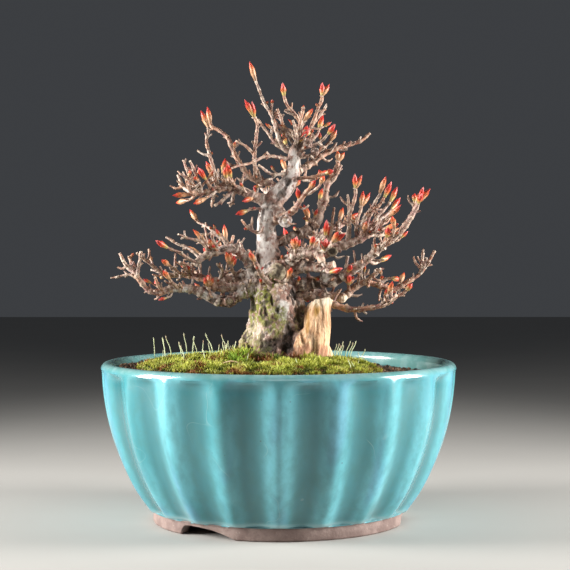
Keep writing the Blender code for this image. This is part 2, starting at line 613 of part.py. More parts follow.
def flute_cut(angle: float, height: float) -> float:
    """How far the outside is hollowed at an angle and a height."""
    across = (angle * FLUTES / math.tau) % 1.0
    hollow = (0.5 - 0.5 * math.cos(math.tau * across)) ** FLUTE_ROUNDNESS
    arch = FLUTE_TOP - ARCH_DROP * abs(2 * across - 1.0) ** 4
    fade = min(max((arch - height) / FLUTE_FADE, 0.0), 1.0)
    return FLUTE_DEPTH * hollow * fade * (2.0 - fade)


def make_pot() -> bpy.types.Object:
    """The pot: one piece of glazed stoneware with flutes, a foot ring, notches and a drain hole."""
    lip_height = RIM_TOP - LIP_HALF_THICKNESS
    foot = [
        (FOOT_OUTER_RADIUS, GLAZE_EDGE_HEIGHT - 0.3),
        (FOOT_OUTER_RADIUS - 0.1, 0.5),
        (FOOT_OUTER_RADIUS - 0.6, 0.0),
        (FOOT_INNER_RADIUS + 0.8, 0.0),
        (FOOT_INNER_RADIUS, UNDERSIDE_HEIGHT),
        (DRAIN_RADIUS, UNDERSIDE_HEIGHT),
        (DRAIN_RADIUS, FLOOR_HEIGHT),
    ]
    outside = outer_wall()
    inside = inner_wall(0.0, lip_height)
    pot = turned("pot", outside + foot + inside + lip(), FLUTES * STEPS_PER_FLUTE, PARTS, closed=True)
    for vertex in pot.data.vertices:
        x, y, z = (value / MM for value in vertex.co)
        radius = math.hypot(x, y)
        mid_wall = (radius_at(outside[::-1], z) + radius_at(inside, z)) / 2
        if radius < mid_wall or z < GLAZE_EDGE_HEIGHT - 0.1:
            continue
        shrunk = 1.0 - flute_cut(math.atan2(y, x), z) / radius
        vertex.co.x *= shrunk
        vertex.co.y *= shrunk
    for k in range(NOTCHES):
        cut(pot, notch_cutter(k))
    pot.data.materials.append(finish("turquoise_glaze", (0.13, 0.44, 0.50), 0.14))
    return pot


def notch_cutter(index: int) -> bpy.types.Object:
    """A wedge for one notch: the notch's outline, drawn on the foot and pushed in toward the middle."""
    heading = math.radians(FIRST_NOTCH_DEG + 360.0 * index / NOTCHES)
    outward = Vector((math.cos(heading), math.sin(heading), 0.0))
    sideways = Vector((-math.sin(heading), math.cos(heading), 0.0))
    rings = []
    for reach in (FOOT_INNER_RADIUS - NOTCH_REACH / 2, FOOT_OUTER_RADIUS + NOTCH_REACH / 2):
        ring = [outward * reach + sideways * along + Vector((0, 0, up)) for along, up in NOTCH_OUTLINE]
        rings.append(ring)
    return lofted(f"notch_cutter_{index + 1}", rings, CUTTERS)


def root_reach(angle: float) -> float:
    """Distance from the middle of the root base to its edge, with a lobe for each main root."""
    across = math.cos(angle) / ROOT_HALF_WIDTH
    away = math.sin(angle) / ROOT_HALF_DEPTH
    return (1.0 + 0.08 * math.cos(6 * angle) + 0.03 * math.sin(3 * angle + 0.4)) / math.hypot(across, away)


def root_ring(height: float, scale: float, lobed: float, middle: tuple, grow: float = 0.0) -> list:
    """A level ring of the root base; lobed is 1 for the root outline and 0 for a round trunk."""
    ring = []
    for i in range(ROOT_SIDES):
        angle = math.tau * i / ROOT_SIDES
        reach = scale * (lobed * root_reach(angle) + (1 - lobed) * ROOT_HALF_DEPTH) + grow
        across = middle[0] + reach * math.cos(angle)
        away = middle[1] + reach * math.sin(angle)
        ring.append(Vector((across, away, height)))
    return ring


def tree_hole(name: str, bottom: float, top: float) -> bpy.types.Object:
    """The plain hole that the root base stands in."""
    middle = (TREE_ACROSS, 0.0)
    rings = [root_ring(height, 1.0, 1.0, middle, CLEARANCE) for height in (bottom, top)]
    return lofted(name, rings, CUTTERS)


def soil_height(x: float, y: float) -> float:
    """Height of the soil: a low mound round the tree on a gentle slope, with crumbs."""
    mound = MOUND_HEIGHT * math.exp(-((x - TREE_ACROSS) ** 2 + y * y) / MOUND_SPREAD**2)
    crumbs = 0.2 * noise.noise(Vector((x, y, 0.0)) * 0.16)
    return SOIL_LEVEL + SOIL_TILT * x + mound + crumbs


def make_soil() -> bpy.types.Object:
    """The soil that fills the pot, over the screen."""
    screen_space = SCREEN_SIDE * 0.5 * math.sqrt(2.0) + CLEARANCE
    screen_top = FLOOR_HEIGHT + CLEARANCE + SCREEN_BAR + CLEARANCE
    wall = inner_wall(CLEARANCE, SOIL_LEVEL)
    profile = [(radius, SOIL_LEVEL) for radius in (0.0, 11.0, 22.0, 33.0, 44.0)]
    profile += wall[::-1]
    profile += [(screen_space, FLOOR_HEIGHT + CLEARANCE), (screen_space, screen_top), (0.0, screen_top)]
    soil = turned("soil", profile, SOIL_STEPS, PARTS, closed=False)
    for vertex in soil.data.vertices:
        if vertex.co.z > (SOIL_LEVEL - 0.01) * MM:
            vertex.co.z = soil_height(vertex.co.x / MM, vertex.co.y / MM) * MM
    soil.data.materials.append(finish("soil_crumb", (0.16, 0.10, 0.06), 0.95))
    return soil


def moss_edge(angle: float) -> float:
    """Distance from the tree to the ragged edge of the moss."""
    return 38.5 - 8.5 * math.cos(angle) + 2.0 * math.cos(3 * angle + 1.0) + 1.8 * math.sin(5 * angle)


def moss_height(x: float, y: float) -> float:
    """Height of the moss's cushions, thick by the tree and thin at the edge."""
    share = math.hypot(x - TREE_ACROSS, y) / moss_edge(math.atan2(y, x - TREE_ACROSS))
    cushions = 1.5 * noise.noise(Vector((x, y, 9.0)) * 0.14) + 0.8 * noise.noise(Vector((x, y, 4.0)) * 0.3)
    rise = (MOSS_THICKNESS - MOSS_EDGE + cushions) * math.sqrt(max(1.0 - share**2, 0.0))
    return soil_height(x, y) + CLEARANCE + MOSS_EDGE + rise


def make_moss(soil: bpy.types.Object) -> bpy.types.Object:
    """The moss mat on the soil, with its spore stalks standing in it."""
    rings = []
    for share in MOSS_RINGS:
        ring = []
        for i in range(MOSS_SIDES):
            angle = math.tau * i / MOSS_SIDES
            reach = share * moss_edge(angle)
            x = TREE_ACROSS + reach * math.cos(angle)
            y = reach * math.sin(angle)
            ring.append(Vector((x, y, moss_height(x, y))))
        rings.append(ring)
    underside = [Vector((point.x, point.y, SOIL_LEVEL - 4.0)) for point in rings[0]]
    mat = lofted("moss", [underside, *rings], PARTS)
    stalks = new_collection("stalks")
    for x, y, height, lean in STALKS:
        foot = Vector((x, y, moss_height(x, y) - 1.2))
        top = Vector((x + lean, y, moss_height(x, y) + height))
        neck = foot.lerp(top, 0.82)
        tube("stalk", [foot, neck, top], [STALK_RADIUS, STALK_RADIUS, STALK_RADIUS * 1.5], 0, stalks)
    moss = fuse("moss", mat, stalks)
    raised_soil = mesh_object("raised_soil", soil.data.copy(), CUTTERS)
    raised_soil.location.z = CLEARANCE * MM
    cut(moss, raised_soil)
    cut(moss, tree_hole("moss_hole", SOIL_LEVEL - 6.0, SOIL_LEVEL + 14.0))
    moss.data.materials.clear()
    moss.data.materials.append(finish("moss", (0.22, 0.27, 0.05), 0.9))
    return moss


def make_chip(name: str, place: tuple, length: float, turn: float) -> bpy.types.Object:
    """A small curved flake lying on the moss."""
    x, y = place
    heading = Vector((math.cos(math.radians(turn)), math.sin(math.radians(turn)), 0.0))
    side = Vector((-heading.y, heading.x, 0.0))
    shares = (-0.5 * length, 0.0, 0.5 * length)
    ground = max(moss_height(x + heading.x * run, y + heading.y * run) for run in shares)
    rings = []
    for i in range(CHIP_STEPS):
        along = (i / (CHIP_STEPS - 1) - 0.5) * length
        share = abs(2.0 * along / length)
        middle = Vector((x, y, ground + CHIP_LIFT + CHIP_ARCH * (1.0 - share**2))) + heading * along
        half = CHIP_HALF_WIDTH * (1.0 - 0.65 * share**3)
        corners = ((-half, -CHIP_HALF_THICKNESS), (half, -CHIP_HALF_THICKNESS),
                   (half, CHIP_HALF_THICKNESS), (-half, CHIP_HALF_THICKNESS))
        rings.append([middle + side * sideways + Vector((0, 0, up)) for sideways, up in corners])
    return lofted(name, rings, PARTS)


def make_screen() -> bpy.types.Object:
    """The square of plastic mesh that keeps the soil off the drain hole."""
    bpy.ops.mesh.primitive_grid_add(
        x_subdivisions=SCREEN_CELLS, y_subdivisions=SCREEN_CELLS, size=(SCREEN_SIDE - SCREEN_BAR) * MM
    )
    screen = bpy.context.active_object
    screen.name = "drain_screen"
    screen.location.z = (FLOOR_HEIGHT + CLEARANCE + SCREEN_BAR / 2) * MM
    for collection in list(screen.users_collection):
        collection.objects.unlink(screen)
    PARTS.objects.link(screen)
    wire = screen.modifiers.new("bars", "WIREFRAME")
    wire.thickness = SCREEN_BAR * MM
    wire.use_even_offset = False
    wire.use_boundary = True
    screen.data.materials.append(finish("black_plastic", (0.03, 0.03, 0.03), 0.5))
    return screen


def in_space(across: float, height: float, depth: float) -> Vector:
    """The place that the eye sees at (across, height) on the pot's upright plane, pushed back by depth."""
    share = (depth - EYE[1]) / -EYE[1]
    return Vector((EYE[0] + (across - EYE[0]) * share, depth, EYE[2] + (height - EYE[2]) * share))


def nearest_depth(parent: list, across: float, height: float) -> tuple:
    """The (across, height, depth) on the parent's drawn line that lies nearest to a drawn point."""
    target = Vector((across, height))
    best = None
    for start, end in zip(parent, parent[1:]):
        run = Vector(end[:2]) - Vector(start[:2])
        share = min(max((target - Vector(start[:2])).dot(run) / run.length_squared, 0.0), 1.0)
        point = tuple(a + (b - a) * share for a, b in zip(start, end))
        gap = (target - Vector(point[:2])).length
        if best is None or gap < best[0]:
            best = (gap, point)
    return best[1]


def drawn_line(branch: Branch, parent: list) -> list:
    """The branch's (across, height, depth) points, rooted on its parent."""
    root = nearest_depth(parent, *branch.points[0])
    points = [root[:2], *branch.points[1:]]
    runs = [0.0]
    for start, end in zip(points, points[1:]):
        runs.append(runs[-1] + math.dist(start, end))
    return [(x, z, root[2] + (branch.depth - root[2]) * run / runs[-1]) for (x, z), run in zip(points, runs)]


def bud_on(points: list, radii: list, thin: float) -> Laid:
    """Swell the last stretch of a branch into a bud."""
    tip, before = points[-1], points[-2]
    reach = min(BUD_LENGTH, 0.95 * (tip - before).length)
    back = (before - tip).normalized() * reach
    swelling = [tip + back, tip + back * 0.5, tip]
    return Laid(points[:-1] + swelling, radii[:-1] + [thin, BUD_RADIUS, TIP_RADIUS])


def lay(branch: Branch, line: list) -> list:
    """The tubes of one branch: itself, and a second bud where it ends in a pair."""
    points = [in_space(*point) for point in line]
    count = len(points) - 1
    radii = [branch.thick + (branch.thin - branch.thick) * i / count for i in range(count + 1)]
    if branch.ends == "stub":
        return [Laid(points, radii)]
    laid = [bud_on(points, radii, branch.thin)]
    if branch.ends == "pair":
        base = laid[0].points[-3]
        second = points[-1] + Vector((PAIR_OFFSET[0], 0.8, PAIR_OFFSET[1]))
        start = base + (base - second).normalized() * 0.4
        laid.append(bud_on([start, second], [branch.thin, branch.thin], branch.thin))
    return laid


def seeded_twigs(points: list, pairs: int, rng: random.Random) -> list:
    """Short opposite twigs along a limb, each pair turned a quarter round from the last."""
    laid = []
    for pair in range(pairs):
        share = (pair + 0.6) / pairs * 0.8 + 0.18
        position = share * (len(points) - 1)
        index = min(int(position), len(points) - 2)
        root = points[index].lerp(points[index + 1], position - index)
        along = (points[index + 1] - points[index]).normalized()
        level = along.cross(Vector((0, 0, 1))).normalized()
        sideways = level if pair % 2 else (level + along.cross(level) * rng.uniform(0.6, 1.0)).normalized()
        for side in (-1, 1):
            length = rng.uniform(*SEEDED_LENGTH)
            heading = (sideways * side + along * 0.7 + Vector((0, 0, 0.7))).normalized()
            elbow = root + heading * length * 0.5
            tip = elbow + (heading + Vector((0, 0, rng.uniform(0.3, 0.9)))).normalized() * length * 0.6
            radii = [0.65, 0.55, 0.48]
            if rng.random() < 0.6:
                laid.append(bud_on([root, elbow, tip], radii, 0.5))
            else:
                laid.append(Laid([root, elbow, tip], radii))
    return laid


def make_stump(collection: bpy.types.Collection) -> bpy.types.Object:
    """The sawn and weathered column of dead wood at the right of the trunk."""
    rings = []
    for height, middle, radius in STUMP:
        ring = []
        for i in range(STUMP_SIDES):
            angle = math.tau * i / STUMP_SIDES
            top_slope = 2.2 + 1.3 * math.cos(angle + 0.6) if height == STUMP[-1][0] else 0.0
            ring.append(Vector((middle[0] + radius * math.cos(angle), middle[1] + radius * math.sin(angle),
                                height + top_slope)))
        rings.append(ring)
    return lofted("stump", rings, collection)


def make_tree() -> bpy.types.Object:
    """The living tree: root base, trunk, dead stump, limbs, twigs and buds, grown as one piece."""
    growth = new_collection("growth")
    base = lofted("root_base", [root_ring(*ring) for ring in ROOT_RINGS], PARTS)
    trunk_line = [point[:3] for point in TRUNK]
    trunk_points = [in_space(*point) for point in trunk_line]
    tube("upper_trunk", trunk_points, [point[3] for point in TRUNK], 4, growth)
    make_stump(growth)
    lines = {"trunk": trunk_line}
    rng = random.Random(SEED)
    for name, limb in LIMBS.items():
        lines[name] = drawn_line(limb, lines[limb.parent])
        for laid in lay(limb, lines[name]):
            tube(name, laid.points, laid.radii, 1, growth)
        path = [in_space(*point) for point in lines[name]]
        for laid in seeded_twigs(path, SEEDED_PAIRS.get(name, 0), rng):
            tube("seeded_twig", laid.points, laid.radii, 0, growth)
    for twig in TWIGS:
        for laid in lay(twig, drawn_line(twig, lines[twig.parent])):
            tube("twig", laid.points, laid.radii, 0, growth)
    for across, height, depth, radius in KNOBS:
        knob = bmesh.new()
        bmesh.ops.create_icosphere(knob, subdivisions=1, radius=radius * MM)
        bmesh.ops.translate(knob, verts=knob.verts, vec=in_space(across, height, depth) * MM)
        mesh = bpy.data.meshes.new("knob")
        knob.to_mesh(mesh)
        knob.free()
        mesh_object("knob", mesh, growth)
    tree = fuse("tree", base, growth)
    tree.data.materials.clear()
    tree.data.materials.append(finish("bark", (0.42, 0.34, 0.28), 0.85))
    return tree


def main() -> None:
    """Build every piece."""
    make_pot()
    make_screen()
    soil = make_soil()
    make_moss(soil)
    cut(soil, tree_hole("soil_hole", TREE_BOTTOM - CLEARANCE, SOIL_LEVEL + 14.0))
    make_tree()
    colours = {"bark_chip": (0.10, 0.05, 0.03), "wood_chip": (0.62, 0.52, 0.38)}
    for name, place, length, turn in CHIPS:
        chip = make_chip(name, place, length, turn)
        chip.data.materials.append(finish(name, colours[name], 0.9))
    for obj in PARTS.objects:
        obj.data.shade_smooth()
        obj.data.set_sharp_from_angle(angle=math.radians(35))


main()
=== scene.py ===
"""Looks of a small trident maple bonsai, leafless with its buds swelling, in a fluted turquoise pot.

Lengths are in millimetres and become metres where a mesh is made. The front faces -Y and up is +Z.
The tree is drawn from the front: each branch is a list of (across, height) points in the upright plane
through the pot's middle, as an eye at EYE sees them, with the depth of its tip behind that plane.
"""

from __future__ import annotations

import itertools
import json
import logging
import math
import random
from dataclasses import dataclass, field
from enum import Enum
from functools import cache
from pathlib import Path as FilePath
from typing import NamedTuple, Sequence

import bpy
import numpy as np
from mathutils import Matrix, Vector, noise

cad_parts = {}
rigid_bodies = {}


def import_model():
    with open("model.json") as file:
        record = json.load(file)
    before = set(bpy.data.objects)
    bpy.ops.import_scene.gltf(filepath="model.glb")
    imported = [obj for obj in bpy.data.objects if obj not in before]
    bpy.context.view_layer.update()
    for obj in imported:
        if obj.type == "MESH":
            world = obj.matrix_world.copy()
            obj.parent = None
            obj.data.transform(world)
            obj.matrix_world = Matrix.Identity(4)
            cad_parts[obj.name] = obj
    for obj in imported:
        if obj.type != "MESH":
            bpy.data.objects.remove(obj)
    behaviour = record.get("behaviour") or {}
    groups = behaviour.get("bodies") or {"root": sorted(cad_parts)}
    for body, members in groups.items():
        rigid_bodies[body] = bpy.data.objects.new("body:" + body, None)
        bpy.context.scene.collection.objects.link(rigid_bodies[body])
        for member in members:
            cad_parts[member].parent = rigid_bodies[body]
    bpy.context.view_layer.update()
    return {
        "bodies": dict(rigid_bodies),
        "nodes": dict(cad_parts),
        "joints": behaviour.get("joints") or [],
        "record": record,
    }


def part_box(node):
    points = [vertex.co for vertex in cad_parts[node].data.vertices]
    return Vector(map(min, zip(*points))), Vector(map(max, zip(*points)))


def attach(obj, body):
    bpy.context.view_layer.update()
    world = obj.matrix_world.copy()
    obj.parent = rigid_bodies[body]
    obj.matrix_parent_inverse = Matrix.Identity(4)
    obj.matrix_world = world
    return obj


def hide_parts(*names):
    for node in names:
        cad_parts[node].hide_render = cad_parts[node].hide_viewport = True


LOG = logging.getLogger("bonsai")
BODY = "root"
MM = 0.001
SEED = 11
EYE = (0.0, -531.0, 91.7)
TREE_ACROSS = 1.5
RIM_RADIUS = 59.0
LIP_HALF_THICKNESS = 2.1
LIMB_LEAST_RADIUS = 1.1
LINE_STEP = 0.55
UP = (0.0, 0.0, 1.0)

Array = np.ndarray
Socket = bpy.types.NodeSocket
Value = float | Socket


class Ends(Enum):
    """How a branch ends."""

    BUD = "bud"
    PAIR = "pair"
    STUB = "stub"


class Mark(Enum):
    """What a part of the bark is."""

    MOSSY = "mossy"
    PALE = "pale"
    # painted shade: hollows, gaps and shadows drawn near black on the bark
    HOLLOW = "hollow"
    RUSSET = "russet"
    OCHRE = "ochre"


BUD, PAIR, STUB = Ends
MOSSY, PALE, HOLLOW, RUSSET, OCHRE = Mark


class Branch(NamedTuple):
    """A limb or twig, from its root to its tip."""

    points: tuple
    depth: float
    ends: Ends = BUD
    thick: float = 0.75
    thin: float = 0.5


# The trunk's line: (across, height, depth, radius)
TRUNK = (
    (-0.7, 70, 0.5, 8.4), (-1, 76, 1, 7.8), (-1.8, 81, 1, 6.2), (-2.8, 85.5, 1, 4.8), (-4, 90.5, 0.5, 3.8),
    (-4.2, 96, 0, 3.2), (-3.9, 101, -0.5, 3.1), (-2.2, 105.7, -0.5, 3.3), (1.6, 110, 0, 3.3),
    (4.1, 114.2, 0.5, 2.6), (5.2, 118.4, 0.5, 2.1), (5.2, 122.8, 0.5, 2.2), (6.8, 126, 0.5, 1.5),
)

LIMBS = {
    "low_left": Branch(((-4, 77), (-12.9, 75.4), (-16.2, 73.2), (-20.2, 73.2), (-23.9, 75.1), (-29.6, 77.1),
        (-35.6, 77.2), (-39.6, 76.1), (-42.9, 76.4), (-45.9, 79.4), (-48.2, 83.1),
        (-49.9, 88.1)), -8, STUB, 2.5, 0.55),
    "low_left_back": Branch(((-4, 82), (-11.6, 81.5), (-16, 80.8), (-21, 79.6), (-25, 80.6), (-30, 81.6),
        (-36.2, 81.6)), 6, STUB, 2.1, 0.9),
    "mid_left": Branch(((-3, 79), (-8.2, 83.5), (-11.5, 88), (-15.2, 90.6), (-19, 90.1), (-22.4, 89),
        (-26, 87.2), (-28, 85)), -6, STUB, 2.3, 1.1),
    "upper_left": Branch(((-2, 106), (-8.6, 107.9), (-12.9, 110.1), (-16.9, 110.9), (-21.2, 110.1),
        (-25.2, 109.1), (-29.6, 108.6), (-35.4, 108.2)), -9, BUD, 2, 0.6),
    "tall_left": Branch(((0.5, 109), (-3, 112.4), (-5.8, 112.7), (-9.2, 114.1), (-12.6, 118.4),
        (-15.6, 124.1), (-16.9, 127.4), (-19.6, 129.7), (-22.6, 131.7), (-23.7, 137.7)), 4, BUD, 1.2, 0.55),
    "right_upper": Branch(((-1, 92), (5, 94.5), (10.4, 97.4), (13.1, 99.6), (13.8, 102.7), (15.4, 106.7),
        (16.1, 111.4), (17.8, 115.1), (19.8, 119.4), (19.6, 123.2)), 8, PAIR, 1.9, 0.75),
    "right_main": Branch(((-1, 84), (7, 87), (12, 88.8), (17.1, 90.2), (22, 91.8), (27, 93.6),
        (31, 96)), -2, STUB, 2.8, 1.2),
    "right_low": Branch(((3, 78), (7.5, 78.4), (13.8, 79.4), (18.4, 79.8), (21.4, 81.4), (24.4, 83.4),
        (29.1, 86.7), (33.8, 90.7), (38.4, 94.1), (41.8, 97.7), (44.1, 101.1), (46.4, 105.7),
        (48.2, 111.1)), -12, PAIR, 2.4, 0.7),
    "right_under": Branch(((4, 76), (9.8, 76.2), (17.1, 74.8), (22.1, 74.8), (24.8, 77.2), (28.4, 79.2),
        (33.1, 78.4), (38.8, 77.1), (42.4, 79.1), (47.1, 82.2), (49.4, 85.1), (52.1, 89.9)), 6, STUB, 1.8),
    "right_lowest": Branch(((3, 74), (10.4, 74.6), (16.8, 72.6), (20.4, 71.1), (25.4, 70.2), (30.4, 70.7),
        (34.8, 71.7), (39.1, 74.4), (42.4, 76.4), (44.6, 79)), -6, BUD, 1.5),
    "front_low": Branch(((-1, 82), (3.1, 86.1), (5.8, 88.4), (9.8, 89.4), (13.1, 88.8),
        (14.6, 85.6)), -15, STUB, 2.4, 1.2),
    "right_front": Branch(((0, 80), (5, 83.2), (9.5, 84.6), (14, 84.2), (18.6, 85.2)), -9, STUB, 2.5, 1.5),
    "low_left_mid": Branch(((-4, 80), (-9, 78.9), (-14, 77.9), (-19, 77.2), (-24, 78.2)), -3, STUB, 2.1, 1.2),
    "front_left": Branch(((1.4, 73), (-2.2, 77.7), (-5.6, 81.7), (-7.9, 86.1),
        (-9.8, 89.4)), -18, BUD, 1.4, 0.7),
    "back_low": Branch(((-1, 81), (3, 84.5), (8, 88), (12, 92), (15.5, 96.5)), 31, STUB, 2.4, 0.9),
    "back_left": Branch(((-3, 83), (-9, 86.6), (-14.5, 88.8), (-20, 90)), 27, STUB, 2, 0.9),
    "upper_back": Branch(((-3.5, 102), (-0.5, 106.5), (3, 110.5), (6.5, 114)), 20, STUB, 1.7, 0.8),
    "upper_front": Branch(((-3.6, 99), (1.5, 101.2), (4.8, 103.1), (8.1, 108.1), (10.1, 110.4),
        (12.3, 113.3)), -15, BUD, 1.5, 0.6),
    "long_right": Branch(((5, 115.5), (10.1, 118.4), (13.8, 121.1), (18.1, 123.4), (23.4, 125.1),
        (27.4, 126.4), (30.4, 128.9)), 8, STUB, 1.3),
}

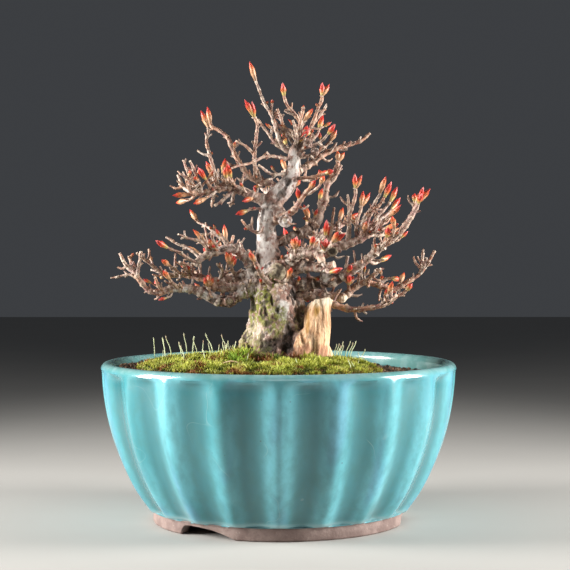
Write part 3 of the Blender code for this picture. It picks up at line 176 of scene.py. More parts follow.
# Twigs in growing order, as rows for Branch, each after the name of the line that it grows from
TWIGS = (
    # Apex, left to right
    "trunk",
    (((4, 121.5), (1.4, 124.7), (-0.9, 130.7), (-2.6, 135.1), (-5.2, 139.7), (-6.9, 144.1),
        (-9.7, 152.7)), -4, BUD, 0.9),
    (((-0.6, 130), (-2.5, 135.4), (-2.2, 139.7)), -2, STUB),
    (((5, 122), (0.1, 124.7), (-3.9, 129.1), (-7, 133.5)), 2, STUB, 0.85),
    "tall_left",
    (((-5.8, 112.7), (-8.2, 120), (-7.9, 123.8), (-7.1, 129), (-7.8, 133.8),
        (-11.4, 140.1)), -9, PAIR, 0.8, 0.6),
    (((-8, 114), (-8.4, 121.7), (-11.2, 124.7), (-14.2, 126.4)), -6, STUB, 0.6),
    "trunk",
    (((5.5, 124), (2.1, 129.7), (0.8, 133.1), (-0.4, 136.7)), 5, STUB),
    (((6.5, 125), (6.8, 133.1), (4.8, 135.7), (2.8, 138.1), (1.8, 141.1), (1.3, 145.7)), -6, BUD, 0.9),
    (((6.3, 125), (7, 132), (8.4, 137.4)), -5, STUB, 0.8, 0.6),
    (((6.6, 126), (8.4, 133), (11.4, 137.1)), -8, BUD, 0.6),
    (((5.6, 124.5), (5.4, 130.1), (4.8, 133.1)), -10, STUB),
    (((6.8, 126), (11.4, 132.1), (13.1, 137.1), (14.4, 141.1), (14.5, 145.8)), 3, PAIR, 0.9, 0.55),
    (((6.8, 126), (11.8, 132), (15.8, 138.1)), 5, STUB, 0.6),
    (((6.4, 125), (13.1, 129.1), (14.8, 135.1)), 9),
    (((5.6, 123), (13.1, 125.7), (16.4, 128.6), (18.8, 132)), -7),
    (((5.2, 120.5), (13.8, 123.2), (17.1, 126.2), (19.3, 130)), 1),
    (((6.6, 125), (10.3, 130.9)), -3, BUD, 0.7),
    (((5.2, 120), (-4.9, 121.1), (-9.9, 119.1), (-15.9, 117.4)), -12, STUB, 0.7),
    (((3, 116), (-2.2, 115.4), (-6.8, 118.4)), -5, STUB),
    (((5, 118), (3, 124), (1, 129)), 14, BUD, 0.8),
    (((5.2, 121), (8, 126), (9.5, 131.5)), 15, PAIR, 0.8, 0.55),
    # Upper left spray
    "upper_left",
    (((-20.5, 110.3), (-20.9, 114.7), (-22.6, 120.7), (-23.9, 126.1), (-23.2, 130.4),
        (-25.9, 136.5)), 1, BUD, 0.8),
    (((-25.5, 109), (-27.2, 114.7), (-29.6, 119.7)), -14, STUB),
    (((-26, 109), (-29.6, 114.1), (-31.9, 120.1)), -4, STUB),
    (((-22.5, 110), (-24.2, 113.4), (-26.9, 117.6)), -14),
    (((-20.5, 110.3), (-21.9, 114.4), (-24.2, 119.7)), -6),
    (((-17.5, 110.8), (-18.9, 114.1), (-17.7, 120.7)), 2),
    (((-14, 110.4), (-15.9, 114.1), (-17.2, 118.9)), -13),
    (((-26, 109), (-29.2, 112.7), (-32.9, 115.4)), -12, STUB),
    (((-27.5, 108.8), (-30.2, 111.1), (-33.2, 112.1)), -2, STUB),
    (((-27, 108.6), (-30.2, 106.7), (-34.2, 105.7)), 4, BUD, 0.6),
    (((-20, 110.2), (-24.2, 107.3), (-28.4, 105.4)), -14, BUD, 0.6),
    (((-21, 110), (-22.2, 104.7)), 3, STUB),
    (((-15, 110.6), (-18.9, 106.3), (-21.2, 104.7)), -5, STUB),
    (((-14.5, 110.4), (-16.2, 104.7)), 6, STUB),
    (((-8, 107.8), (-12.2, 106.2)), -7),
    "trunk",
    (((-4, 104), (-10.2, 103.2), (-14.4, 101.9)), -6, BUD, 0.6),
    (((-4.5, 95), (-9.6, 97.1), (-12.4, 100.2)), -5, STUB),
    # Middle left spray
    "mid_left",
    (((-16.2, 90.6), (-18.9, 93.7), (-21.9, 96.4), (-24.6, 98.2), (-27, 99.6), (-29.7, 103.6)), 9, BUD, 0.8),
    (((-22.5, 89.2), (-23.9, 94.4), (-24.5, 97.4)), 1, STUB, 0.7),
    (((-19.8, 90.2), (-21.6, 93.4), (-22.2, 96.4)), -9, STUB),
    (((-22.6, 89.1), (-25.6, 92.4), (-28.9, 93.7), (-33.4, 95.4)), -12, STUB, 0.7),
    (((-26, 87.2), (-30.2, 90.7), (-33.9, 92.4), (-37.7, 94.4)), -2, STUB, 0.7),
    (((-27.5, 86), (-30.9, 87.7), (-33.9, 89.4), (-37, 90.8), (-41.1, 93.3)), -16, BUD, 0.7),
    "low_left_back",
    (((-14.5, 81.2), (-15.9, 85), (-17.6, 89.4)), -9),
    (((-20, 79.8), (-18.9, 82.7), (-20.6, 85.7)), -4, STUB),
    (((-18.5, 80.2), (-17.6, 82.7), (-17.2, 84.7)), 8, STUB),
    "back_left",
    (((-14.5, 88.8), (-17.5, 93), (-18.2, 98.6)), 20),
    (((-18.5, 89.8), (-24, 92.4), (-28.6, 97)), 22),
    (((-20, 90), (-25.5, 88.6), (-31.5, 91.4)), 33),
    # Low left spray
    "low_left_back",
    (((-33, 81.6), (-38.2, 82.4), (-42.9, 85.2), (-47.2, 89.1)), -2, STUB, 0.8),
    (((-31, 81.6), (-34.6, 83.6), (-39, 86.8)), -13),
    (((-35, 81.6), (-42.4, 83.6)), 12, STUB),
    "low_left",
    (((-45.5, 79.2), (-49.6, 81.7), (-53.6, 81.1), (-55.9, 80.7)), -5, STUB, 0.6, 0.4),
    (((-48.4, 84), (-50.6, 85.1), (-52, 86.6)), -13, STUB),
    "low_left_back",
    (((-29.8, 81.6), (-31.2, 84.7), (-33.2, 86)), -7, STUB),
    (((-28.6, 81.4), (-29.2, 85.8)), 2, STUB),
    "low_left",
    (((-33, 77.2), (-36, 79.8), (-38.6, 83.2)), -17),
    "low_left_back",
    (((-25, 80.6), (-28.5, 83), (-33, 85.6)), 18),
    # Right spray, inner to outer
    "right_main",
    (((23, 92.2), (23.4, 97), (23.8, 101.7), (24.8, 105.7), (25.6, 110.4),
        (25.3, 115.5)), -6, PAIR, 0.9, 0.6),
    (((22.4, 92), (23.4, 102), (23.1, 108.4)), -9, STUB, 0.6),
    (((26, 93.2), (26.1, 99.1), (27.4, 104.2), (28.2, 109.8)), 3, PAIR, 0.8, 0.55),
    (((27, 93.6), (28.4, 100), (31.1, 104.4), (33.6, 108.8), (35.7, 114.6)), -13, BUD, 0.9),
    (((28, 94.2), (30.4, 101.6), (35.1, 107.4), (37.6, 112.9)), -4, BUD, 0.9),
    (((29, 94.8), (33.1, 101.1), (37.1, 105.9), (39.5, 111.1)), 4, BUD, 0.8),
    (((30, 95.4), (34.4, 100.6), (37.4, 103.4), (40.6, 107.6)), 11, BUD, 0.8),
    (((31, 96), (34.8, 99.2), (40.9, 105.2)), -11, BUD, 0.8),
    (((30, 95.4), (35.2, 97), (40, 98.8)), -15),
    (((29, 94.8), (35.8, 95.2), (41, 97.2)), 14),
    (((18.5, 90.6), (19.8, 98), (21.4, 104.3)), 12),
    (((16.5, 90), (17.8, 98.4), (18.4, 104.3)), 5, STUB),
    (((14, 89.4), (15.6, 95), (16, 100.2)), -9),
    "right_upper",
    (((14.2, 103.6), (13.4, 106.1), (14.6, 110.6)), 14),
    (((12.2, 98.9), (9.6, 101), (8.4, 105.2)), -4),
    "trunk",
    (((4, 113.5), (11.1, 114.4), (15.4, 115.4), (18.3, 116.6)), -4, BUD, 0.7),
    "upper_front",
    (((8.1, 108.1), (11.4, 109.7), (13.8, 112.1), (15.2, 114.8)), -17, BUD, 0.6),
    (((7, 106.4), (6.1, 110.9)), -12, BUD, 0.6),
    # Right low sprays
    "right_low",
    (((33.4, 90.4), (35.4, 92.6)), -14, STUB),
    (((37, 93), (38.6, 97.2), (37.8, 101.4)), -18),
    "right_under",
    (((23.4, 76.2), (23.5, 81.8)), -8, BUD, 0.7),
    (((26.1, 78.4), (26.9, 82.4)), -4, STUB, 0.6),
    (((28.6, 79.2), (31.1, 81.6), (34.1, 83.7)), -9, STUB),
    (((39.6, 77.6), (41.9, 82.6)), 12, BUD, 0.6),
    (((48.8, 84.2), (50.4, 86.4)), 2, STUB),
    (((33.1, 78.4), (37.2, 80.6), (41, 80.2)), 15),
    "right_lowest",
    (((34, 71.6), (36.5, 75.4), (38, 79.6)), -14),
    "right_low",
    (((29, 86.7), (33, 86), (37.6, 88.4)), 4),
    # Toward the viewer and away
    "front_low",
    (((5.8, 88.4), (5.2, 94)), -17, BUD, 0.7),
    (((9.8, 89.4), (11.8, 94.6)), -22, BUD, 0.7),
    (((13.1, 88.8), (17.6, 92), (19.8, 96.2)), -27, PAIR, 0.8, 0.6),
    (((14.4, 86), (17, 82.6), (21.4, 84)), -22),
    "front_left",
    (((-2.2, 77.7), (2.8, 80.1), (4.3, 84.2)), -19),
    "back_low",
    (((8, 88), (3.6, 92), (1.6, 97.6)), 24),
    (((12, 92), (9.4, 98.2), (9.8, 104)), 34),
    (((15.5, 96.5), (21, 98), (24.5, 103)), 38, PAIR, 0.8, 0.6),
    (((12, 92), (19, 90.6), (25.6, 93.6)), 36),
    "upper_back",
    (((-0.5, 106.5), (-5.4, 110.2), (-8.4, 115.2)), 22),
    (((3, 110.5), (2.6, 116), (0.8, 121)), 24),
    (((6.5, 114), (11.4, 113.4), (15.8, 116.6)), 29),
)

# Limbs that also carry short opposite twigs, and how many pairs each has
SEEDED_PAIRS = {
    "low_left": 3, "mid_left": 1, "upper_left": 2, "right_upper": 1, "right_main": 2,
    "right_low": 3, "right_under": 2, "right_lowest": 1, "back_low": 2, "back_left": 2,
    "upper_back": 1,
}

# Pruning scars and callus: (across, height, depth, radius)
KNOBS = (
    (2.2, 99.8, -3.2, 2.1), (17.2, 90.4, -3, 2.9), (-0.6, 83.1, -4.2, 3.9), (-16.4, 73, -1.5, 2.3),
    (15.4, 82.2, -3.4, 1.7), (-0.6, 101.8, -1, 3.3), (21, 74.2, 2.2, 1.9), (6, 123.8, 0.4, 2.2),
    (9.4, 125.6, -0.6, 1.8), (12, 122.8, -1.4, 1.6), (7.2, 128.6, 0.2, 1.5),
)

# Moss spore stalks: (across, depth, height, lean across)
STALKS = (
    (-42, 9, 8, -0.4), (-39, 16, 7.4, -1), (-38, 4, 7.6, -0.8), (-36.4, 12, 8.2, -2.2), (-33.6, 20, 6, -1),
    (-31.2, 12, 8.4, -1.2), (-29.8, 18, 8, 0.6), (-27.4, 8, 7, -1.6), (-26.2, 14, 6.2, 0.4),
    (-22.4, 17, 8.2, -2.8), (-20.8, 10, 5.6, 0.6), (-17.4, 13, 8, -2.2), (-15.8, 19, 5.4, 1),
    (-18.6, 12, 5.8, -0.6), (-17.9, 13.5, 4.9, 0.2), (-16.9, 11.5, 5.6, -0.4), (-16.2, 12.8, 4.2, 0.6),
    (-23.4, 15, 5.4, -0.8), (-24, -12, 4.6, -0.6), (-31, -6, 5.8, -1.4), (19.6, 15, 5.6, 1.8),
    (22.4, 10, 6.8, 2), (24.2, 16, 7.6, 2.4), (27.6, 6, 5, 1.6), (18.6, 11, 5, 1.2), (19.3, 12.5, 5.6, 1.4),
    (20.4, 11, 6.2, 1.6), (21, 13, 5.2, 1.2), (23.4, 12, 6.4, 2), (6, -22, 2.8, -0.6), (-4, 24, 6.4, 0.6),
    (6, 27, 5.8, -1),
)


@dataclass(frozen=True)
class Patch:
    """A part of the bark, as the eye sees it: what it is, and its oval's middle and half sizes."""

    mark: Mark
    across: float
    height: float
    half_width: float
    half_height: float
    strength: float = 1.0


# The patches, as rows for Patch. The HOLLOW rows are painted shade: hollows, gaps and shadows between the
# limbs, drawn near black.
PATCHES = (
    (MOSSY, -7.6, 71, 4.2, 6, 0.9), (MOSSY, -3.6, 75, 2.6, 6.5, 0.9), (MOSSY, -1, 66.5, 4, 6, 0.75),
    (MOSSY, 8.2, 68, 3, 5, 0.4), (MOSSY, -10, 60, 5, 5, 0.55), (MOSSY, 12.5, 70, 1.6, 4, 0.5),
    # PALE rows are lichen; those along the low left limbs and up the trunk's left side also paint their
    # whitish highlights.
    (PALE, 1.4, 70, 1.9, 4.2, 0.95), (PALE, -10.2, 77.6, 3.4, 3.6, 0.95), (PALE, -10.6, 72.4, 1.3, 2.4, 0.9),
    (PALE, -7, 62, 4, 4.6, 0.22), (PALE, -4.4, 93.5, 3.4, 8.5, 1), (PALE, -4.4, 99.5, 2.6, 6, 1),
    (PALE, 1.4, 110.5, 4.4, 3.6, 0.85), (PALE, 2.2, 99.8, 2.1, 2.1, 1), (PALE, 5.2, 118.5, 2, 4.5, 0.95),
    (PALE, -5, 84, 2.2, 3, 0.8), (PALE, 15.8, 81.8, 1.6, 2, 1), (PALE, 26.4, 81.6, 1.6, 2, 0.9),
    (PALE, -23, 75.2, 3.4, 1.8, 0.95), (PALE, -33, 76.3, 4.2, 1.6, 0.85), (PALE, -10.4, 81.6, 2.4, 3.2, 0.9),
    (PALE, -20, 90.2, 6.5, 1.8, 0.7), (HOLLOW, 6.1, 75.8, 1.7, 2, 1), (HOLLOW, 3, 112.6, 1.1, 1.2, 0.9),
    (HOLLOW, 5.4, 99.2, 1.2, 1.6, 0.8), (HOLLOW, -8.8, 72, 1.2, 2, 0.8), (HOLLOW, -3, 58, 3.6, 2.8, 0.9),
    (HOLLOW, 3.2, 60, 2.2, 4.4, 0.9), (HOLLOW, 12.6, 77.8, 2.4, 1.5, 0.9), (HOLLOW, 8.8, 85.4, 2, 1.2, 0.8),
    (HOLLOW, 12.6, 74.9, 2.6, 1.2, 0.9), (RUSSET, 2.6, 59.5, 3.4, 4, 0.9), (RUSSET, 5.4, 64.4, 1.8, 4, 0.7),
    (RUSSET, 11.5, 55.8, 6.5, 2.6, 0.95), (RUSSET, -4, 55.2, 9.5, 2, 1), (MOSSY, -8.5, 56.4, 6.5, 2.2, 0.8),
    (RUSSET, -8, 58.4, 4.6, 2.2, 0.6), (OCHRE, 12.7, 70.6, 1.1, 3.2, 1), (OCHRE, 9.6, 66.4, 0.8, 3.4, 0.7),
)


@dataclass(frozen=True)
class Wound:
    """A healed cut, as the eye sees it: a pad of old wood, domed or hollow, with bark rolled round it."""

    across: float
    height: float
    half_width: float
    half_height: float
    dome: float = 0.5


WOUNDS = (
    Wound(-0.6, 82.7, 3.2, 3.5, 0.9),
    Wound(17.9, 89.4, 2, 1.8, -0.9),
    Wound(2.2, 99.8, 1.5, 1.5, 0.3),
    Wound(15.6, 81, 1.2, 2, 0.8),
    Wound(4.4, 94.6, 1.2, 1.5, -0.5),
    Wound(-16.4, 73, 1.4, 1.3, 0.3),
)

NO_QUADS = np.zeros((0, 4), np.int64)
NO_TRIANGLES = np.zeros((0, 3), np.int64)


class Field:
    """A smooth random field in space, the same each time for the same seed."""

    def __init__(self, seed: int) -> None:
        """Shuffle the lattice by the seed, which picks one field out of many."""
        rng = np.random.default_rng(seed)
        self.order = rng.permutation(256)
        self.heights = rng.uniform(-1.0, 1.0, 256)

    def _lattice(self, cell: Array) -> Array:
        """Values at whole-number places."""
        x, y, z = (cell & 255).T
        row = (self.order[x] + y) & 255
        return self.heights[self.order[(self.order[row] + z) & 255]]

    def at(self, places: Array, wavelength: float, layers: int = 1) -> Array:
        """The field at each place: lattice values eased between the eight corners of the place's cell.

        Args:
            places: points, along the last axis.
            wavelength: the size of its lumps, in the places' unit.
            layers: how many finer copies, each half as large and half as strong, are added.

        Returns:
            A value from about -1 to 1 for each place.
        """
        rows = places.reshape(-1, 3)
        total = np.zeros(len(rows))
        for layer in range(layers):
            scaled = rows * (2.0**layer / wavelength) + 17.3 * layer
            cell = np.floor(scaled).astype(np.int64)
            inside = scaled - cell
            ease = inside * inside * (3.0 - 2.0 * inside)
            for corner in itertools.product((0, 1), repeat=3):
                weight = np.prod(np.where(corner, ease, 1.0 - ease), axis=1)
                total += weight * self._lattice(cell + np.array(corner)) / 2.0**layer
        return total.reshape(places.shape[:-1])


def summed(index: Array, amounts: Array, count: int) -> Array:
    """Rows of three amounts added up by index, as count sums."""
    return np.stack([np.bincount(index, amounts[:, axis], count) for axis in range(3)], axis=1)


@dataclass
class Surface:
    """A mesh in the making, in millimetres, with values kept at its corners."""

    corners: Array
    quads: Array
    triangles: Array
    values: dict = field(default_factory=dict)
    quad_finish: Array | None = None

    @classmethod
    def joined(cls, parts: Sequence[Surface]) -> Surface:
        """All the parts as one surface, each part left as it is."""
        starts = np.cumsum([0] + [len(part.corners) for part in parts[:-1]])
        return cls(
            np.concatenate([part.corners for part in parts]),
            np.concatenate([part.quads + start for part, start in zip(parts, starts)]),
            np.concatenate([part.triangles + start for part, start in zip(parts, starts)]),
            {name: np.concatenate([part.values[name] for part in parts]) for name in parts[0].values},
        )

    def normals(self) -> Array:
        """Unit normals at the corners: the sum of the normals of the faces round each."""
        faces = np.concatenate([self.triangles, self.quads[:, :3], self.quads[:, [0, 2, 3]]])
        a, b, c = (self.corners[faces[:, i]] for i in range(3))
        across = np.cross(b - a, c - a)
        total = summed(faces.ravel(), np.repeat(across, 3, axis=0), len(self.corners))
        return total / np.maximum(np.linalg.norm(total, axis=1, keepdims=True), 1e-12)

    def smoothed(self, rounds: int, share: float) -> None:
        """Move each corner a share of the way to the middle of its neighbours, some rounds over."""
        edges = [self.quads[:, [i, (i + 1) % 4]] for i in range(4)]
        edges += [self.triangles[:, [i, (i + 1) % 3]] for i in range(3)]
        start, end = np.concatenate(edges).T
        count = np.maximum(np.bincount(start, minlength=len(self.corners)), 1)[:, None]
        for _ in range(rounds):
            middle = summed(start, self.corners[end], len(self.corners)) / count
            self.corners = self.corners + share * (middle - self.corners)

    def made(self, name: str, *finishes: Finish, sharp_deg: float = 60.0) -> bpy.types.Object:
        """Make the object, in metres.

        Args:
            name: the piece's name.
            finishes: what it is made of.
            sharp_deg: it is smooth apart from edges sharper than this.

        Returns:
            The object, at the origin.
        """
        mesh = bpy.data.meshes.new(name)
        mesh.from_pydata(self.corners * MM, [], self.quads.tolist() + self.triangles.tolist())
        for value, numbers in self.values.items():
            layer = mesh.attributes.new(value, "FLOAT", "POINT")
            layer.data.foreach_set("value", np.ascontiguousarray(numbers, np.float32))
        for finish in finishes:
            mesh.materials.append(finish.make())
        if self.quad_finish is not None:
            mesh.polygons.foreach_set("material_index", self.quad_finish.astype(np.int32))
        mesh.shade_smooth()
        mesh.set_sharp_from_angle(angle=math.radians(sharp_deg))
        obj = bpy.data.objects.new(name, mesh)
        bpy.context.scene.collection.objects.link(obj)
        return obj


def band(index: Array) -> Array:
    """Quads between rows of corners that run round an axis."""
    after = np.roll(index, -1, axis=1)
    return np.stack([index[:-1], after[:-1], after[1:], index[1:]], axis=-1).reshape(-1, 4)


def skin(rings: Array, values: dict | None = None, ends: bool = True) -> Surface:
    """Skin over rings of points that run round an axis, with a fan over each end.

    Args:
        rings: points, shaped (rings, points in a ring, 3).
        values: arrays shaped like the first two sides of rings.
        ends: whether the first and last ring are closed.

    Returns:
        The surface.
    """
    rows, columns = rings.shape[:2]
    index = np.arange(rows * columns).reshape(rows, columns)
    corners = rings.reshape(-1, 3)
    triangles = NO_TRIANGLES
    kept = {name: np.broadcast_to(value, (rows, columns)).ravel() for name, value in (values or {}).items()}
    if ends:
        middle = len(corners)
        low = np.stack([np.roll(index[0], -1), index[0], np.full(columns, middle)], axis=1)
        high = np.stack([index[-1], np.roll(index[-1], -1), np.full(columns, middle + 1)], axis=1)
        triangles = np.concatenate([low, high])
        corners = np.concatenate([corners, [rings[0].mean(axis=0)], [rings[-1].mean(axis=0)]])
        kept = {name: np.append(value, [value[0], value[-1]]) for name, value in kept.items()}
    return Surface(corners, band(index), triangles, kept)


def turn_angles(count: int) -> Array:
    """Angles evenly round a turn."""
    return np.arange(count) * (math.tau / count)


def round_points(reach: Array, angle: Array, height: Array, middle: Sequence = (0.0, 0.0)) -> Array:
    """Points round an upright axis: middle + reach * cos(angle), middle + reach * sin(angle), height."""
    x, y = middle[0] + reach * np.cos(angle), middle[1] + reach * np.sin(angle)
    return np.stack(np.broadcast_arrays(x, y, height), axis=-1)


@dataclass
class Path:
    """A smooth line in space, with a radius along it."""

    points: Array
    radii: Array

    @classmethod
    def through(cls, knots: Sequence, radii: Sequence, step: float = LINE_STEP) -> Path:
        """The line through some points: between each two, a cubic with the slopes of the points' neighbours.

        Args:
            knots: the points.
            radii: the radius at each.
            step: the spacing of the line's own points.

        Returns:
            The line.
        """
        knots = np.asarray(knots, float)
        runs = np.append(0.0, np.cumsum(np.linalg.norm(np.diff(knots, axis=0), axis=1)))
        slopes = np.gradient(knots, runs, axis=0)
        at = np.linspace(0.0, runs[-1], max(int(runs[-1] / step), 3) + 1)
        i = np.clip(np.searchsorted(runs, at, side="right") - 1, 0, len(runs) - 2)
        span = (runs[i + 1] - runs[i])[:, None]
        t = (at - runs[i])[:, None] / span
        points = (
            (2 * t**3 - 3 * t**2 + 1) * knots[i]
            + (t**3 - 2 * t**2 + t) * span * slopes[i]
            + (3 * t**2 - 2 * t**3) * knots[i + 1]
            + (t**3 - t**2) * span * slopes[i + 1]
        )
        return cls(points, np.interp(at, runs, radii))

    def lengths(self) -> Array:
        """Distance along the line to each point."""
        return np.append(0.0, np.cumsum(np.linalg.norm(np.diff(self.points, axis=0), axis=1)))

    def frames(self) -> tuple:
        """Unit vectors along the line, to its side and across both, at each point."""
        along = np.gradient(self.points, axis=0)
        along = along / np.linalg.norm(along, axis=1, keepdims=True)
        axis = np.eye(3)[np.argmin(np.abs(along).max(axis=0))]
        side = axis - along * (along @ axis)[:, None]
        side = side / np.linalg.norm(side, axis=1, keepdims=True)
        return along, side, np.cross(along, side)

    def tube(self, sides: int, values: dict | None = None, swell: Array | float = 1.0) -> Surface:
        """A round skin over the line: point + radius * swell * (cos(angle) * side + sin(angle) * across).

        Args:
            sides: how many corners each ring has.
            values: what is kept at the corners.
            swell: scales the radius, and may vary along the line and round it.

        Returns:
            The surface.
        """
        _, side, across = self.frames()
        angle = turn_angles(sides)[None, :, None]
        reach = (self.radii[:, None] * swell * np.ones((1, sides)))[..., None]
        spoke = np.cos(angle) * side[:, None] + np.sin(angle) * across[:, None]
        return skin(self.points[:, None] + reach * spoke, values)

    def bent(self, kinks: Field, amount: float, wavelength: float) -> Path:
        """The line with small kinks, its root left in place.

        Args:
            kinks: the field that moves it.
            amount: how far.
            wavelength: how long the kinks are.

        Returns:
            The new line.
        """
        places = self.points + 1.0
        shift = np.stack([kinks.at(places + 40.0 * axis, wavelength) for axis in range(3)], axis=1)
        ease = np.minimum(self.lengths() / wavelength, 1.0)[:, None]
        return Path(self.points + shift * amount * ease, self.radii)


def unit(vector: Array) -> Array:
    """The vector at length 1."""
    return vector / np.linalg.norm(vector)


def in_space(across: float, height: float, depth: float) -> Array:
    """The place at a depth on the eye's ray through (across, height) on the pot's upright plane."""
    share = (depth - EYE[1]) / -EYE[1]
    return np.array((EYE[0] + (across - EYE[0]) * share, depth, EYE[2] + (height - EYE[2]) * share))


def as_seen(places: Array) -> Array:
    """Where the eye sees places, as (across, height) on the pot's upright plane."""
    share = -EYE[1] / (places[:, 1] - EYE[1])
    return np.stack([places[:, 0] * share, EYE[2] + (places[:, 2] - EYE[2]) * share], axis=1)


def soft_step(value: Array, low: float, high: float) -> Array:
    """0 below low and 1 above high, with an eased way between."""
    t = np.clip((value - low) / (high - low), 0.0, 1.0)
    return t * t * (3.0 - 2.0 * t)


def bezier(start: tuple, leave: tuple, arrive: tuple, end: tuple, count: int) -> Array:
    """A cubic curve from start to end, pulled toward leave and then arrive.

    Args:
        start: its first point.
        leave: the handle that it leaves toward.
        arrive: the handle that it arrives from.
        end: its last point.
        count: how many points it gets.

    Returns:
        The points, as (radius, height).
    """
    t = np.linspace(0.0, 1.0, count)[:, None]
    u = 1.0 - t
    knots = [np.array(point, float) for point in (start, leave, arrive, end)]
    return u**3 * knots[0] + 3 * u * u * t * knots[1] + 3 * u * t * t * knots[2] + t**3 * knots[3]


def linear(code: str) -> tuple:
    """A screen colour such as #a08060, as linear red, green, blue and alpha."""
    parts = [int(code[i : i + 2], 16) / 255.0 for i in (1, 3, 5)]
    return (*(p / 12.92 if p <= 0.04045 else ((p + 0.055) / 1.055) ** 2.4 for p in parts), 1.0)


class Bench:
    """A node tree being wired. Sizes are in millimetres on the object."""

    def __init__(self, tree: bpy.types.NodeTree) -> None:
        """Work on the tree of a material or of a group."""
        self.tree = tree

    def add(self, kind: str, inputs: dict | None = None, **settings: object) -> bpy.types.Node:
        """Add a node.

        Args:
            kind: Blender's name for it.
            inputs: what feeds its sockets, by name or number.
            settings: its other settings.

        Returns:
            The node.
        """
        node = self.tree.nodes.new(kind)
        for name, value in settings.items():
            setattr(node, name, value)
        for socket, value in (inputs or {}).items():
            self.feed(node.inputs[socket], value)
        return node

    def feed(self, socket: Socket, value: object) -> None:
        """Link a socket to another, or set its number, colour or colour code."""
        if isinstance(value, Socket):
            self.tree.links.new(value, socket)
        else:
            socket.default_value = linear(value) if isinstance(value, str) else value

    def stretched(self, stretch: tuple | Socket, place: Socket | None = None) -> Socket:
        """Coordinates scaled along each axis: the object's own, or the place given."""
        if place is None:
            place = self.add("ShaderNodeTexCoord").outputs["Object"]
        return self.add("ShaderNodeMapping", {"Vector": place, "Scale": stretch}).outputs["Vector"]

    def kept(self, name: str) -> Socket:
        """A value kept at the mesh's corners."""
        return self.add("ShaderNodeAttribute", attribute_name=name).outputs["Fac"]

    def cells(self, size: float, feature: str = "F1", stretch: tuple = (1, 1, 1)) -> Socket:
        """Distance within cells of a size."""
        inputs = {"Vector": self.stretched(stretch), "Scale": 1.0 / (size * MM)}
        return self.add("ShaderNodeTexVoronoi", inputs, feature=feature).outputs["Distance"]

    def ramp(self, value: Value, low: Value, high: Value, start: float = 0.0, end: float = 1.0) -> Socket:
        """An eased way from start, where value is low, to end, where it is high."""
        inputs = {"Value": value, "From Min": low, "From Max": high, "To Min": start, "To Max": end}
        return self.add("ShaderNodeMapRange", inputs, interpolation_type="SMOOTHSTEP").outputs["Result"]

    def maths(self, kind: str, a: Value, b: Value = 0.0) -> Socket:
        """One sum, product or the like."""
        return self.add("ShaderNodeMath", {0: a, 1: b}, operation=kind).outputs["Value"]

    def mix(self, share: Value, a: object, b: object) -> Socket:
        """A colour from a to b."""
        node = self.add("ShaderNodeMix", {"Factor": share}, data_type="RGBA")
        for socket, value in zip([s for s in node.inputs if s.type == "RGBA"], (a, b)):
            self.feed(socket, value)
        return node.outputs[2]

    def both(self, a: Value, b: Value) -> Socket:
        """One mask times another."""
        return self.maths("MULTIPLY", a, b)

    def blotches(
        self, size: float, detail: float = 3, stretch: tuple = (1, 1, 1), rough: float = 0.55, **more: object
    ) -> dict:
        """Place the blotches group.

        Args:
            size: how large its lumps are.
            detail: how many finer layers they have.
            stretch: how many times finer they are along each axis.
            rough: how strong the finer layers are.
            more: its levels and colours.

        Returns:
            The group's outputs.
        """
        place = self.add("ShaderNodeTexCoord").outputs["Object"]
        inputs = {"Vector": place, "Stretch": stretch, "Scale": 1.0 / (size * MM), "Detail": detail}
        inputs |= {"Roughness": rough} | more
        return self.add("ShaderNodeGroup", inputs, node_tree=blotch_group()).outputs

    def noise(self, size: float, *lumps: object) -> Socket:
        """Noise from 0 to 1 with lumps of a size."""
        return self.blotches(size, *lumps)["Noise"]

    def mask(self, size: float, low: float, high: float, *lumps: object) -> Socket:
        """Blotches: 0 where the noise is low and 1 where it is high."""
        return self.blotches(size, *lumps, Low=low, High=high)["Mask"]

    def blend(self, size: float, low: float, high: float, colours: tuple, *lumps: object) -> Socket:
        """Blotches of a dark and a light colour."""
        levels = {"Low": low, "High": high, "Dark": colours[0], "Light": colours[1]}
        return self.blotches(size, *lumps, **levels)["Colour"]

    def washed(self, colour: object, *washes: tuple) -> Socket:
        """Lay washes over a colour.

        Args:
            colour: what is under them.
            washes: for each, where it lies, its colour, and how strong it is if less than full.

        Returns:
            The colour after the last.
        """
        for mask, over, *strength in washes:
            inputs = {"Under": colour, "Over": over, "Mask": mask, "Strength": [*strength, 1.0][0]}
            colour = self.add("ShaderNodeGroup", inputs, node_tree=wash_group()).outputs["Colour"]
        return colour

    def bump(self, height: Value, depth: float, strength: float = 1.0, onto: Socket | None = None) -> Socket:
        """A normal raised by a height from 0 to 1 that stands for a depth."""
        inputs = {"Height": height, "Distance": depth * MM, "Strength": strength}
        if onto is not None:
            inputs["Normal"] = onto
        return self.add("ShaderNodeBump", inputs).outputs["Normal"]


def effect(name: str, inputs: dict, outputs: dict) -> tuple:
    """Start a shader node group.

    Args:
        name: what it is called.
        inputs: the kind of each input socket, by name.
        outputs: the kind of each output socket, by name.

    Returns:
        The group's bench, what comes in and what goes out.
    """
    tree = bpy.data.node_groups.new(name, "ShaderNodeTree")
    for sockets, way in ((inputs, "INPUT"), (outputs, "OUTPUT")):
        for socket, kind in sockets.items():
            tree.interface.new_socket(socket, in_out=way, socket_type="NodeSocket" + kind)
    bench = Bench(tree)
    return bench, bench.add("NodeGroupInput").outputs, bench.add("NodeGroupOutput").inputs


